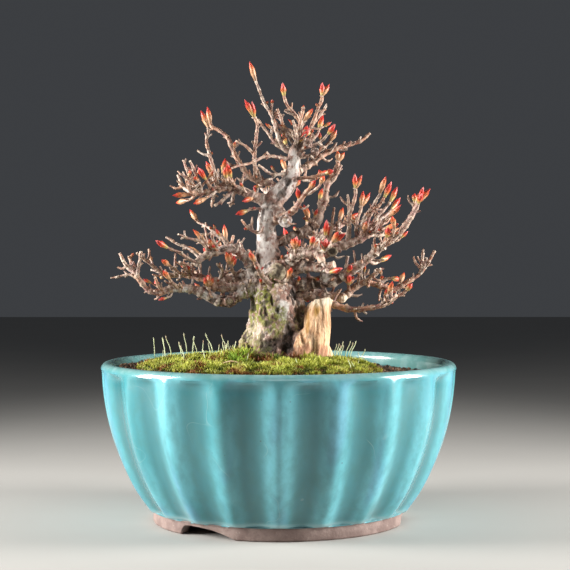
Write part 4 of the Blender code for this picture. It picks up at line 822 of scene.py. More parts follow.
@cache
def blotch_group() -> bpy.types.NodeTree:
    """Mottling: noise, its mask eased from Low to High, and Dark mixed to Light by the mask."""
    numbers = dict.fromkeys(("Scale", "Detail", "Roughness", "Low", "High"), "Float")
    inputs = {"Vector": "Vector", "Stretch": "Vector", **numbers, "Dark": "Color", "Light": "Color"}
    bench, given, out = effect("blotches", inputs, {"Noise": "Float", "Mask": "Float", "Colour": "Color"})
    lumps = {name: given[name] for name in ("Scale", "Detail", "Roughness")}
    place = bench.stretched(given["Stretch"], given["Vector"])
    lumps = bench.add("ShaderNodeTexNoise", {"Vector": place, **lumps}).outputs["Fac"]
    mask = bench.ramp(lumps, given["Low"], given["High"])
    bench.feed(out["Noise"], lumps)
    bench.feed(out["Mask"], mask)
    bench.feed(out["Colour"], bench.mix(mask, given["Dark"], given["Light"]))
    return bench.tree


@cache
def wash_group() -> bpy.types.NodeTree:
    """A thin layer: Over covers Under by Mask times Strength."""
    inputs = {"Under": "Color", "Over": "Color", "Mask": "Float", "Strength": "Float"}
    bench, given, out = effect("wash", inputs, {"Colour": "Color"})
    share = bench.maths("MULTIPLY", given["Mask"], given["Strength"])
    bench.feed(out["Colour"], bench.mix(share, given["Under"], given["Over"]))
    return bench.tree


@dataclass(frozen=True)
class Finish:
    """What a surface is made of: its name, and how rough it is. Each kind adds its colours and its layers."""

    name: str
    roughness: float

    def layers(self, f: Bench) -> dict:
        """What feeds the shader's sockets, by name."""
        raise NotImplementedError

    def make(self) -> bpy.types.Material:
        """The material, with its layers wired to its shader."""
        material = bpy.data.materials.new(self.name)
        material.use_nodes = True
        bench = Bench(material.node_tree)
        shader = bench.tree.nodes["Principled BSDF"]
        shader.inputs["Roughness"].default_value = self.roughness
        for socket, value in self.layers(bench).items():
            bench.feed(shader.inputs[socket], value)
        return material


@dataclass(frozen=True)
class Glaze(Finish):
    """Glossy turquoise glaze: deeper in the flutes, bluer beside the ridges, pale at its lower edge as a
    painted highlight along the bead there.
    """

    name: str = "turquoise_glaze"
    roughness: float = 0.12
    body: tuple = ("#438b93", "#6cb6c1")
    deep: str = "#275a5f"
    blue: str = "#6c9fc1"
    mottle: str = "#41706b"
    line: str = "#b9cbc2"
    speck: str = "#4d3a2c"
    thin: tuple = ("#68958f", "#86a9a6")
    # the pale of the glaze's lower edge: a painted highlight along the bead
    edge: str = "#93b9bd"

    def layers(self, f: Bench) -> dict:
        """Runs down the wall, pooled glaze, mottling, faint contour lines, iron specks and a thin lip."""
        flute = f.kept("flute")
        runs = f.mask(11.0, 0.42, 0.66, 2.0, (1, 1, 0.15))
        mottle = f.mask(3.2, 0.35, 0.7, 5.0, (1, 1, 0.6), 0.62)
        contour = f.maths("ABSOLUTE", f.maths("SUBTRACT", f.noise(22.0, 1.5), 0.5))
        colour = f.washed(
            f.blend(16.0, 0.3, 0.7, self.body, 3, (1, 1, 0.22)),
            (f.ramp(flute, 0.35, 1.0), self.deep, 0.68),
            (f.both(f.ramp(flute, 0.62, 0.12), runs), self.blue, 0.42),
            (mottle, self.mottle, 0.32),
            (f.both(f.ramp(contour, 0.0035, 0.0), f.mask(14.0, 0.50, 0.60, 1.0)), self.line, 0.14),
            (f.both(f.ramp(f.cells(4.6), 0.08, 0.04), f.mask(9.0, 0.55, 0.62, 1.0)), self.speck, 0.45),
            (f.kept("thin"), f.blend(5.0, 0.38, 0.62, self.thin), 0.75),
            # painted highlight: pale along the bead at the glaze's lower edge
            (f.kept("edge"), self.edge, 0.8),
        )
        return {
            "Base Color": colour,
            "Normal": f.bump(f.noise(7.0, 1.0), 0.12, 0.3),
            "Roughness": f.ramp(mottle, 0.0, 1.0, 0.13, 0.20),
            "IOR": 1.55,
            "Coat Weight": 0.3,
            "Coat Roughness": 0.15,
        }


@dataclass(frozen=True)
class Clay(Finish):
    """Unglazed pinkish stoneware with fine grit."""

    name: str = "bare_clay"
    roughness: float = 0.85

    def layers(self, f: Bench) -> dict:
        """Mottled clay, dark grit and pale patches."""
        colour = f.washed(
            f.blend(5.0, 0.3, 0.7, ("#74605a", "#948079"), 4.0),
            (f.ramp(f.cells(0.9), 0.22, 0.1), "#6d4d45", 0.45),
            (f.mask(1.4, 0.62, 0.75, 2.0), "#b5a69d", 0.4),
        )
        return {"Base Color": colour, "Normal": f.bump(f.noise(0.8, 4.0), 0.25, 0.7)}


@dataclass(frozen=True)
class Bark(Finish):
    """Old bark with lichen, algae and hollows, and the bare wood of the stump; some pale lichen patches are
    painted highlights.
    """

    name: str = "maple_bark"
    roughness: float = 0.82

    def wood(self, f: Bench) -> Socket:
        """The stump's wood: grain, pale streaks, and where it is stained and worn."""
        return f.washed(
            f.blend(0.8, 0.34, 0.62, ("#b98a63", "#e8c098"), 3.0, (1, 1, 0.08)),
            (f.mask(1.3, 0.56, 0.72, 3.0, (1, 1, 0.12)), "#fbe2bd"),
            (f.kept("ochre"), "#a97a1e", 0.8),
            (f.kept("russet"), "#8f5842", 0.7),
            (f.kept("rim"), "#f3e6cf", 0.85),
        )

    def layers(self, f: Bench) -> dict:
        """Mottled bark, scurf, old pads, lichen (in places a painted highlight) and algae, then the dead
        wood, then painted shade in the low relief and in all hollows.
        """
        lichen_and_highlight = f.washed(
            f.blend(3.0, 0.4, 0.6, ("#efe9e2", "#d9ccc6"), 2.0),
            (f.mask(1.7, 0.54, 0.64, 3.0, (1, 1, 0.3)), "#94877c", 0.55),
        )
        algae = f.mix(f.noise(0.8, 2.0), "#4e5518", "#a3a63c")
        colour = f.washed(
            f.blend(3.0, 0.36, 0.64, ("#5c4338", "#bb9f8e"), 5.0, (1, 1, 0.6), 0.65),
            (f.mask(6.0, 0.42, 0.62, 2.0), "#a57b6d", 0.6),
            (f.mask(1.1, 0.50, 0.64, 4.0, (1, 1, 0.7), 0.6), "#e3d4c8", 0.75),
            (f.kept("russet"), "#573224", 0.85),
            (f.kept("pad"), f.blend(1.0, 0.35, 0.65, ("#8b7f68", "#c6b99c"), 4.0), 0.85),
            # pale patches: lichen, and on the low left limbs and the trunk's left side a painted highlight
            # too
            (f.both(f.kept("pale"), f.mask(1.6, 0.34, 0.50, 4.0)), lichen_and_highlight),
            (f.both(f.kept("mossy"), f.mask(1.3, 0.36, 0.56, 4.0)), algae),
            (f.kept("dead"), self.wood(f)),
            # painted shade: the low relief, the pits and the gaps between plates, darkened
            (f.ramp(f.kept("relief"), -0.12, -0.55), "#2a1d15", 0.8),
            # painted shade: the hollows, gaps and shadows of the HOLLOW marks, near black
            (f.kept("hollow"), "#1a110b", 0.9),
        )
        flakes = f.bump(f.cells(1.4, "DISTANCE_TO_EDGE", (1, 1, 0.5)), 0.3, 0.6)
        return {"Base Color": colour, "Normal": f.bump(f.noise(0.6, 4.0, (1, 1, 0.6)), 0.4, 0.9, flakes)}


@dataclass(frozen=True)
class TwigBark(Finish):
    """Thin bark: orange-brown and pink on young wood, grey and whitish on old, pale at the nodes."""

    name: str = "twig_bark"
    roughness: float = 0.55

    def layers(self, f: Bench) -> dict:
        """Young or old bark by its tint, with rosy blotches, rings, pale specks, shade and cut ends."""
        young = f.blend(2.6, 0.35, 0.65, ("#71402f", "#c28d70"), 4.0)
        old = f.blend(1.8, 0.35, 0.65, ("#5a443a", "#e0d0c2"), 4.0)
        colour = f.washed(
            f.mix(f.kept("tint"), old, young),
            (f.mask(5.0, 0.5, 0.66, 2.0), "#9a706c", 0.6),
            (f.kept("node"), "#d6c2a8", 0.5),
            (f.mask(0.55, 0.56, 0.66, 2.0), "#dccbb6", 0.55),
            (f.mask(1.2, 0.44, 0.34), "#3d261d", 0.6),
            (f.kept("cut"), "#d9c7b2", 0.6),
        )
        return {"Base Color": colour, "Normal": f.bump(f.noise(0.5), 0.18, 0.9)}


@dataclass(frozen=True)
class BudScales(Finish):
    """Swelling buds: yellow-green and tan at the base, then orange, and red at the tip."""

    name: str = "bud_scales"
    roughness: float = 0.36
    base: str = "#9d7a5e"
    sheath: tuple = ("#c99a74", "#b8a866")

    def layers(self, f: Bench) -> dict:
        """Bands of colour along the bud, shifted by its tint, then blotches, and brown on small buds."""
        tint = f.kept("tint")
        along = f.maths("ADD", f.kept("along"), f.both(f.maths("SUBTRACT", tint, 0.5), 0.45))
        colour = f.washed(
            f.mix(f.ramp(along, 0.0, 0.30), self.base, f.mix(f.ramp(tint, 0.45, 0.75), *self.sheath)),
            (f.ramp(along, 0.30, 0.58), "#cf6b3e"),
            (f.ramp(along, 0.52, 0.76), "#ca3a31"),
            (f.ramp(along, 0.86, 1.08), "#dd7474"),
            (f.mask(0.5, 0.55, 0.7, 2.0), "#eda070", 0.35),
            (f.kept("brown"), "#7d4a30", 0.75),
        )
        return {"Base Color": colour, "Normal": f.bump(f.noise(0.4, 2.0), 0.08, 0.6)}


@dataclass(frozen=True)
class MossLeaf(Finish):
    """Moss leaves from olive through yellow-green, with rusty shoots."""

    name: str = "moss_leaf"
    roughness: float = 0.6
    foot: str = "#1d200b"
    green: tuple = ("#3c4b12", "#a5ae38")

    def layers(self, f: Bench) -> dict:
        """Green by the shoot's tint, rusty or fresh where kept so, and dark at the foot."""
        tint = f.kept("tint")
        colour = f.washed(
            f.mix(f.ramp(tint, 0.1, 0.75), *self.green),
            (f.ramp(tint, 0.72, 0.98), "#c6c85a"),
            (f.kept("rust"), "#8a4a26", 0.9),
            (f.kept("fresh"), "#62981f", 0.6),
        )
        return {"Base Color": f.mix(f.ramp(f.kept("along"), 0.0, 0.7), self.foot, colour)}


@dataclass(frozen=True)
class MossThatch(Finish):
    """The dark thatch under the moss leaves."""

    name: str = "moss_thatch"
    roughness: float = 0.95

    def layers(self, f: Bench) -> dict:
        """Dark green with brown blotches and a deep crumb."""
        ground = f.blend(2.4, 0.3, 0.7, ("#2b2a10", "#6b6a24"), 4.0)
        colour = f.washed(ground, (f.mask(5.0, 0.55, 0.68, 2.0), "#5b3a1d"))
        return {"Base Color": colour, "Normal": f.bump(f.noise(0.8, 4.0), 0.6)}


@dataclass(frozen=True)
class StalkSkin(Finish):
    """Pale green spore stalks, reddish in their capsules."""

    name: str = "moss_stalk"
    roughness: float = 0.45

    def layers(self, f: Bench) -> dict:
        """Paler up the stalk, with the capsule reddened by its tint."""
        along = f.kept("along")
        ripe = f.both(f.ramp(along, 0.80, 0.9), f.kept("tint"))
        green = f.mix(f.ramp(along, 0.0, 0.6), "#6f7f2c", "#c9d2a4")
        return {"Base Color": f.washed(green, (ripe, "#a8846a"))}


@dataclass(frozen=True)
class SoilCrumb(Finish):
    """Dark crumbly soil."""

    name: str = "soil_crumb"
    roughness: float = 0.95

    def layers(self, f: Bench) -> dict:
        """Brown crumbs with paler dry blotches."""
        ground = f.blend(1.6, 0.3, 0.7, ("#2a1e15", "#5a4634"), 4.0)
        colour = f.washed(ground, (f.mask(7.0, 0.55, 0.7, 2.0), "#6f5b48"))
        return {"Base Color": colour, "Normal": f.bump(f.cells(1.4), 0.8)}


@dataclass(frozen=True)
class Grit(Finish):
    """Single grains of soil and grit, from near black through brown to tan."""

    name: str = "soil_grit"
    roughness: float = 0.9

    def layers(self, f: Bench) -> dict:
        """One colour a grain by its tint, a few of them brick red."""
        tint = f.kept("tint")
        colour = f.washed(
            f.mix(f.ramp(tint, 0.0, 0.55), "#241a13", "#5d4838"),
            (f.ramp(tint, 0.6, 0.85), "#8a7058"),
            (f.ramp(tint, 0.965, 0.985), "#a23a26"),
        )
        return {"Base Color": colour, "Normal": f.bump(f.noise(0.4), 0.2, 0.8)}


@dataclass(frozen=True)
class Flake(Finish):
    """A dry flake of bark or wood with grain along it."""

    roughness: float = 0.85
    colours: tuple = ()

    def layers(self, f: Bench) -> dict:
        """Long grain in two colours."""
        colour = f.blend(0.9, 0.35, 0.65, self.colours, 3.0, (0.25, 1, 1))
        return {"Base Color": colour, "Normal": f.bump(f.noise(0.5, 3.0, (0.3, 1, 1)), 0.2, 0.8)}


@dataclass(frozen=True)
class BlackPlastic(Finish):
    """Matt moulded plastic."""

    name: str = "black_plastic"
    roughness: float = 0.5

    def layers(self, f: Bench) -> dict:
        """Nearly even black with a fine moulded texture."""
        colour = f.mix(f.noise(2.0), "#131313", "#242424")
        return {"Base Color": colour, "Normal": f.bump(f.noise(0.6), 0.1, 0.5)}


@dataclass(frozen=True)
class PaleFloor(Finish):
    """Plain pale matt floor."""

    name: str = "pale_floor"
    roughness: float = 0.95

    def layers(self, f: Bench) -> dict:
        """Nearly even grey without gloss."""
        colour = f.mix(f.noise(60.0, 2.0), "#b3b1ad", "#b9b7b3")
        normal = f.bump(f.noise(1.5, 2.0), 0.1, 0.15)
        return {"Base Color": colour, "Normal": normal, "Specular IOR Level": 0.0}


@dataclass
class Pot:
    """The glazed pot, turned as one grid of rings. Points of its profile are (radius, height)."""

    rim_radius: float = RIM_RADIUS
    rim_top: float = 53.0
    lip: float = LIP_HALF_THICKNESS
    glaze_edge: tuple = (43.5, 4.8)
    foot_outer: float = 41.8
    foot_inner: float = 37.2
    underside: float = 5.8
    recess_middle: float = 22.0
    floor: tuple = (36.0, 10.0)
    drain_radius: float = 7.0
    outer_handles: tuple = ((59.0, 33.0), (52.0, 14.0))
    inner_side_handle: float = 30.0
    inner_floor_handle: tuple = (47.5, 13.0)
    lip_turn_deg: tuple = (12.0, 168.0)
    outer_rings: int = 46
    lip_rings: int = 10
    inner_rings: int = 18
    steps: int = 960
    flutes: int = 20
    flute_depth: float = 1.8
    flute_top: float = 50.9
    flute_fade: float = 1.9
    flute_roundness: float = 0.55
    ridge_softness: float = 0.22
    arch_drop: float = 1.6
    first_notch_deg: float = -123.5
    notches: int = 3
    notch_along: tuple = (-10.3, -9.9, -9.3, -8.2, -6.0, -2.0, 2.5, 6.5, 10.4)
    notch_lift: tuple = (0.0, 1.3, 2.4, 3.0, 3.2, 3.1, 2.6, 1.5, 0.0)
    glazed_inside: float = 16.0
    foot_rows: tuple = (4, 6)

    def under(self) -> list:
        """The profile from the drain hole's top, out under the foot and up to the glaze's edge."""
        inner, outer, (edge_radius, edge) = self.foot_inner, self.foot_outer, self.glaze_edge
        return [
            (self.drain_radius, self.floor[1]),
            (self.drain_radius, self.underside),
            (self.recess_middle, self.underside),
            (inner - 0.4, self.underside),
            (inner, self.underside - 0.5),
            (inner + 0.5, 0.6),
            (inner + 0.9, 0.0),
            (outer - 0.7, 0.0),
            (outer - 0.2, 0.25),
            (outer, 0.7),
            (outer, 2.6),
            (outer, edge - 0.5),
            (outer + 0.7, edge - 0.45),
            (edge_radius - 0.3, edge - 0.3),
        ]

    def __post_init__(self) -> None:
        """Draw the profile: under the foot, up the outside, over the lip and down the inside."""
        under = np.array(self.under())
        lip_height = self.rim_top - self.lip
        rim = (self.rim_radius, lip_height)
        outer = bezier(rim, *self.outer_handles, self.glaze_edge, self.outer_rings)[::-1]
        turn = np.radians(np.linspace(*self.lip_turn_deg, self.lip_rings))
        middle = self.rim_radius - self.lip
        lip = np.stack([middle + self.lip * np.cos(turn), lip_height + self.lip * np.sin(turn)], axis=1)
        wall = self.rim_radius - 2 * self.lip
        handles = (wall, self.inner_side_handle), self.inner_floor_handle
        inner = bezier((wall, lip_height), *handles, self.floor, self.inner_rings)
        self.profile = np.concatenate([under, outer, lip, inner])
        self.glazed_from = len(under) - 2
        self.outer_rows = (len(under) - 1, len(under) + len(outer))
        self.inner_from = len(under) + len(outer) + len(lip)

    def hollow(self, angle: Array) -> Array:
        """How deep in a flute each angle lies: from 0 on a ridge to 1, a wave to a power, softened."""
        across = (angle * self.flutes / math.tau) % 1.0
        sharp = (0.5 - 0.5 * np.cos(math.tau * across)) ** self.flute_roundness
        soft = self.ridge_softness
        return (np.hypot(sharp, soft) - soft) / (math.hypot(1.0, soft) - soft)

    def flute_cut(self, angle: Array, height: Array) -> Array:
        """How far the outside is hollowed: the flute's depth, faded out under an arch at its top.

        Args:
            angle: angles round the pot.
            height: heights.

        Returns:
            The depth of the cut.
        """
        across = (angle * self.flutes / math.tau) % 1.0
        arch = self.flute_top - self.arch_drop * np.abs(2 * across - 1.0) ** 4
        fade = np.clip((arch - height) / self.flute_fade, 0.0, 1.0)
        return self.flute_depth * self.hollow(angle) * fade * (2.0 - fade)

    def lift(self, angle: Array, radius: Array) -> Array:
        """How high the foot's lower edge is cut away: by the outline of the notch there.

        Args:
            angle: angles round the pot.
            radius: radii.

        Returns:
            The height of the cut.
        """
        lift = np.zeros(np.broadcast(angle, radius).shape)
        for k in range(self.notches):
            heading = math.radians(self.first_notch_deg + 360.0 * k / self.notches)
            turn = (angle - heading + math.pi) % math.tau - math.pi
            along = radius * np.sin(np.clip(turn, -1.2, 1.2))
            lift = np.maximum(lift, np.interp(along, self.notch_along, self.notch_lift))
        return lift

    def surface(self) -> Surface:
        """The pot's grid: rings at the profile's radius, less the flutes, with a bead at the glaze's edge.

        Returns:
            The surface, with how deep each corner lies in a flute and how near the glaze's edge and lip.
        """
        angle = turn_angles(self.steps)[None, :]
        radius, height = (np.repeat(self.profile[:, [k]], self.steps, axis=1) for k in (0, 1))
        rows = np.arange(len(self.profile))[:, None]
        edge = self.glaze_edge[1]
        outside = (rows >= self.outer_rows[0]) & (rows < self.outer_rows[1])
        wave = Field(3).at(round_points(1.0, angle, 0.0) * 12.0, 2.0, 2)
        thrown = 0.12 * Field(5).at(round_points(radius, angle, height), 22.0)
        bead = np.exp(-(((height - edge - 0.5) / 0.7) ** 2)) * (rows >= self.glazed_from - 1)
        cut = np.where(outside, self.flute_cut(angle, height), 0.0)
        radius = radius - cut + np.where(outside & (height < 30.0), bead * (0.25 + 0.15 * wave), 0.0)
        radius = radius + np.where(outside & (height < 46.0), np.minimum(thrown, 0.0), 0.0)
        foot = (rows < self.glazed_from) & (rows >= self.foot_rows[0])
        top = np.where(rows < self.foot_rows[1], self.underside, edge)
        lift = self.lift(angle, radius)
        height = np.where(foot, lift + height * (1.0 - lift / top), height)
        index = np.arange(radius.size).reshape(radius.shape)
        near_edge = np.exp(-((np.maximum(height - edge - 0.3 * wave, 0.0) / 0.8) ** 2))
        on_lip = soft_step(height, self.rim_top - 2.6, self.rim_top - 0.4)
        thin = np.where(rows >= self.inner_from - 12, on_lip, 0.0)
        glazed = (rows < self.inner_from) | (height > self.rim_top - self.glazed_inside)
        values = {
            "flute": np.where(outside & (height < self.flute_top), cut / self.flute_depth, 0.3),
            "edge": np.where(outside, near_edge, 0.0),
            "thin": np.maximum(thin, (rows >= self.inner_from - 3) * 1.0),
        }
        return Surface(
            round_points(radius, angle, height).reshape(-1, 3),
            band(np.concatenate([index, index[:1]])),
            NO_TRIANGLES,
            {name: value.ravel() for name, value in values.items()},
            np.where((rows >= self.glazed_from) & glazed, 0, 1).ravel(),
        )

    def make(self) -> bpy.types.Object:
        """The pot as an object in its two finishes."""
        obj = self.surface().made("fluted_pot", Glaze(), Clay(), sharp_deg=50.0)
        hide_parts("pot")
        return obj


@dataclass
class Growth:
    """Every line of the tree, from the drawn branches and the seeded ones."""

    bud_length: float = 6.6
    bud_radius: float = 0.78
    taper: float = 0.84
    slimming: float = 0.86
    kink: tuple = (0.30, 3.4)
    pair_offset: tuple = (2.4, 0.8, -0.5)
    pair_root: float = 0.4
    seeded_length: tuple = (5.0, 9.0)
    seeded_radii: tuple = (0.65, 0.55, 0.48)
    limbs: list[Path] = field(default_factory=list)
    twigs: list[tuple[Path, bool]] = field(default_factory=list)
    buds: list[tuple[Array, Array, float]] = field(default_factory=list)

    def __post_init__(self) -> None:
        """Lay out the limbs with their short seeded twigs, then the drawn twigs."""
        self.kinks = Field(21)
        rng = random.Random(SEED)
        lines = {"trunk": [point[:3] for point in TRUNK]}
        for name, limb in LIMBS.items():
            lines[name] = self.drawn_line(limb, lines["trunk"])
            self.limbs.append(self.grow(limb, lines[name], limb=True))
            self.seeded([in_space(*point) for point in lines[name]], SEEDED_PAIRS.get(name, 0), rng)
        for row in TWIGS:
            if isinstance(row, str):
                parent = lines[row]
            else:
                twig = Branch(*row)
                self.grow(twig, self.drawn_line(twig, parent), limb=False)

    @staticmethod
    def nearest(parent: list, across: float, height: float) -> tuple:
        """The place on the parent's drawn line that lies nearest to a drawn point.

        Args:
            parent: the line's (across, height, depth) points.
            across: the drawn point's place across.
            height: its height.

        Returns:
            The place, as (across, height, depth).
        """
        target = np.array((across, height))
        best = (math.inf, parent[0])
        for start, end in itertools.pairwise(np.array(parent)):
            run = end[:2] - start[:2]
            share = min(max(float((target - start[:2]) @ run / (run @ run)), 0.0), 1.0)
            point = start + (end - start) * share
            best = min(best, (float(np.linalg.norm(target - point[:2])), tuple(point)))
        return best[1]

    def drawn_line(self, branch: Branch, parent: list) -> list:
        """Root a branch on its parent and spread its depth along it.

        Args:
            branch: the drawn branch.
            parent: its parent's points.

        Returns:
            The branch's (across, height, depth) points.
        """
        root = self.nearest(parent, *branch.points[0])
        points = [root[:2], *branch.points[1:]]
        runs = [0.0]
        for start, end in itertools.pairwise(points):
            runs.append(runs[-1] + math.dist(start, end))
        back = branch.depth - root[2]
        return [(x, z, root[2] + back * run / runs[-1]) for (x, z), run in zip(points, runs)]

    def with_bud(self, points: list, radii: list, thin: float) -> Path:
        """Shorten a twig by its bud, and note the bud.

        Args:
            points: the twig's points, the last where the bud's tip is.
            radii: the radius at each.
            thin: the radius under the bud.

        Returns:
            The twig's line.
        """
        tip, before = points[-1], points[-2]
        base = tip + unit(before - tip) * min(self.bud_length, 0.95 * float(np.linalg.norm(tip - before)))
        self.buds.append((base, tip, self.bud_radius))
        return Path.through(points[:-1] + [base], radii[:-1] + [thin])

    def grow(self, branch: Branch, line: list, limb: bool) -> Path:
        """Add a branch's line, its bud and the second bud of a pair.

        Args:
            branch: the drawn branch.
            line: its (across, height, depth) points.
            limb: whether the bark covers it, so that it keeps its drawn line and thickness.

        Returns:
            The branch's line in space.
        """
        points = [in_space(*point) for point in line]
        count = len(points) - 1
        radii = [branch.thick + (branch.thin - branch.thick) * i / count for i in range(count + 1)]
        cut = branch.ends is STUB
        path = Path.through(points, radii) if cut else self.with_bud(points, radii, branch.thin)
        path.radii = path.radii * np.linspace(1.0, self.taper, len(path.radii))
        if not limb:
            path = path.bent(self.kinks, *self.kink)
            path.radii = path.radii * self.slimming
        self.twigs.append((path, cut))
        if branch.ends is PAIR:
            base = self.buds[-1][0]
            second = points[-1] + np.array(self.pair_offset)
            start = base + unit(base - second) * self.pair_root
            self.twigs.append((self.with_bud([start, second], [branch.thin] * 2, branch.thin), False))
        return path

    def seeded(self, points: list, pairs: int, rng: random.Random) -> None:
        """Short opposite twigs along a limb, each pair turned a quarter round from the last.

        Args:
            points: the limb's points in space.
            pairs: how many pairs it gets.
            rng: picks their lengths and leans.
        """
        up = np.array(UP)
        for pair in range(pairs):
            share = (pair + 0.6) / pairs * 0.8 + 0.18
            position = share * (len(points) - 1)
            index = min(int(position), len(points) - 2)
            root = points[index] + (points[index + 1] - points[index]) * (position - index)
            along = unit(points[index + 1] - points[index])
            level = unit(np.cross(along, up))
            sideways = level if pair % 2 else unit(level + np.cross(along, level) * rng.uniform(0.6, 1.0))
            for side in (-1, 1):
                length = rng.uniform(*self.seeded_length)
                heading = unit(sideways * side + along * 0.7 + up * 0.7)
                elbow = root + heading * length * 0.5
                tip = elbow + unit(heading + up * rng.uniform(0.3, 0.9)) * length * 0.6
                knots, radii = [root, elbow, tip], list(self.seeded_radii)
                if rng.random() < 0.6:
                    self.twigs.append((self.with_bud(knots, radii, 0.5), False))
                else:
                    self.twigs.append((Path.through(knots, radii), True))


def between(rows: Sequence, level: Array) -> Array:
    """Each number of a table of heights, read at every level, as a column."""
    heights, *columns = np.array(rows, float).T
    return np.array([np.interp(level, heights, column) for column in columns])[..., None]


def oval(seen: Array, mark: Patch | Wound) -> Array:
    """How far out of a mark's oval each seen point lies: 0 in its middle and 1 on its rim."""
    middle, half = (mark.across, mark.height), (mark.half_width, mark.half_height)
    return np.hypot(*((seen - middle) / half).T)


@dataclass
class Trunk:
    """The root base, trunk, stump and thick limbs, fused under one bark.

    The root's rings are (height, scale, share of the lobes, across, depth), and the stump's (height, radius,
    across, depth). The dead edge is the left edge of the dead wood, as the eye sees it: (height, across).
    """

    growth: Growth
    root_half_width: float = 15.2
    root_half_depth: float = 12.2
    root_girth: float = 13.0
    root_rings: tuple = (
        (46.0, 0.98, 1.0, TREE_ACROSS, 0.0), (55.0, 1.0, 1.0, TREE_ACROSS, 0.0), (59.0, 0.93, 1.0, 1.2, 0.0),
        (63.0, 0.78, 0.8, 0.8, 0.2), (67.0, 0.70, 0.5, 0.0, 0.4), (73.0, 0.68, 0.3, -0.7, 0.6),
        (78.0, 0.56, 0.1, -1.2, 0.8),
    )
    stump_rings: tuple = (
        (50.0, 6.2, 9.4, -3.4), (55.4, 6.3, 9.6, -4.0), (57.5, 6.3, 9.9, -4.3), (61.0, 5.8, 10.8, -4.4),
        (65.0, 4.8, 12.0, -3.8), (71.0, 3.9, 13.2, -2.8),
    )
    dead_edge: tuple = ((52, 3.6), (55, 4.2), (58.3, 5), (61.9, 7.2), (66, 9), (72, 9.4), (80, 9.6))
    voxel: float = 0.36
    trunk_sides: int = 40
    limb_sides: int = 16
    chunk: int = 4000

    def __post_init__(self) -> None:
        """Gather the lines that the bark follows, each with whether its wood is dead."""
        base, stump = (
            Path.through([(*ring[-2:], ring[0]) for ring in rings], [ring[1] * girth for ring in rings], 1.0)
            for rings, girth in ((self.root_rings, self.root_girth), (self.stump_rings, 1.0))
        )
        points = [in_space(*point[:3]) for point in TRUNK]
        self.trunk = Path.through(points, [point[3] for point in TRUNK], 0.8)
        self.bones = [(base, False), (self.trunk, False), (stump, True)]
        self.bones += [(limb, False) for limb in self.growth.limbs]

    def root_base(self) -> Surface:
        """Rings from the soil into the trunk: an oval with a lobe for each main root, fading upwards."""
        angle = turn_angles(96)
        level = np.linspace(self.root_rings[0][0], self.root_rings[-1][0], 34)
        scale, lobed, *middle = between(self.root_rings, level)
        lobes = 1.0 + 0.08 * np.cos(6 * angle) + 0.03 * np.sin(3 * angle + 0.4)
        reach = lobes / np.hypot(np.cos(angle) / self.root_half_width, np.sin(angle) / self.root_half_depth)
        reach = scale * (lobed * reach[None] + (1 - lobed) * self.root_half_depth)
        return skin(round_points(reach, angle, level[:, None], middle))

    def stump(self) -> Surface:
        """The column of dead wood, fluted by two waves, with a slanting top."""
        angle = turn_angles(72)
        level = np.linspace(self.stump_rings[0][0], self.stump_rings[-1][0], 26)
        radius, *middle = between(self.stump_rings, level)
        fluted = 1.0 + 0.035 * np.cos(7 * angle) + 0.025 * np.cos(12 * angle + 1.0)
        lift = soft_step(level, 60.0, 71.0)[:, None] * (2.2 + 1.3 * np.cos(angle + 0.6))
        return skin(round_points(radius * fluted, angle, level[:, None] + lift, middle))

    def shapes(self) -> Surface:
        """The overlapping shapes that the bark covers: base, trunk, stump, thick limbs and knobs."""
        shapes = [self.root_base(), self.trunk.tube(self.trunk_sides), self.stump()]
        for limb in self.growth.limbs:
            thick = max(int(np.sum(limb.radii > LIMB_LEAST_RADIUS)), 4)
            shapes.append(Path(limb.points[:thick], limb.radii[:thick]).tube(self.limb_sides))
        for across, height, depth, radius in KNOBS:
            heading = np.linspace(-0.98, 0.98, 9)
            places = in_space(across, height, depth) + np.outer(heading * radius, (0.1, 1.0, 0.1))
            shapes.append(Path(places, radius * np.sqrt(1 - heading**2)).tube(self.limb_sides))
        return Surface.joined(shapes)

    def fused(self, shapes: Surface) -> Surface:
        """One skin round all the shapes, in cells of the voxel's size."""
        draft = Surface(shapes.corners / MM, shapes.quads, shapes.triangles).made("draft")
        remesh = draft.modifiers.new("skin", "REMESH")
        remesh.mode = "VOXEL"
        remesh.voxel_size = self.voxel
        bpy.context.view_layer.update()
        mesh = bpy.data.meshes.new_from_object(draft.evaluated_get(bpy.context.evaluated_depsgraph_get()))
        corners = np.empty(len(mesh.vertices) * 3)
        mesh.vertices.foreach_get("co", corners)
        sides = np.empty(len(mesh.polygons), np.int32)
        mesh.polygons.foreach_get("loop_total", sides)
        loops = np.empty(len(mesh.loops), np.int32)
        mesh.loops.foreach_get("vertex_index", loops)
        starts = np.append(0, np.cumsum(sides)[:-1])
        faces = [loops[starts[sides == n][:, None] + np.arange(n)].astype(np.int64) for n in (4, 3)]
        bpy.data.objects.remove(draft)
        bpy.data.meshes.remove(mesh)
        return Surface(corners.reshape(-1, 3), *faces)

    def along_bones(self, corners: Array) -> tuple:
        """Find the line that each corner lies nearest to.

        Args:
            corners: the places.

        Returns:
            Each corner's place round and along that line, that line's radius, and how dead the corner is.
        """
        paths = [path for path, _ in self.bones]
        stations = np.concatenate([path.points for path in paths])
        radii = np.concatenate([path.radii for path in paths])
        frames = np.concatenate([np.stack(path.frames(), axis=1) for path in paths])
        runs = np.concatenate([path.lengths() + 37.0 * k for k, path in enumerate(paths)])
        dead = np.concatenate([np.full(len(path.points), is_dead) for path, is_dead in self.bones])
        owner = np.empty(len(corners), np.int64)
        deadness = np.empty(len(corners))
        for start in range(0, len(corners), self.chunk):
            part = slice(start, start + self.chunk)
            gap = np.linalg.norm(corners[part, None] - stations[None], axis=2) - radii[None]
            owner[part] = np.argmin(gap, axis=1)
            deadness[part] = soft_step(gap[:, ~dead].min(axis=1) - gap[:, dead].min(axis=1), -0.5, 0.5)
        local = np.einsum("nij,nj->ni", frames[owner], corners - stations[owner])
        follow = np.stack([local[:, 1], local[:, 2], (runs[owner] + local[:, 0]) * 0.42], axis=1)
        return follow, radii[owner], deadness

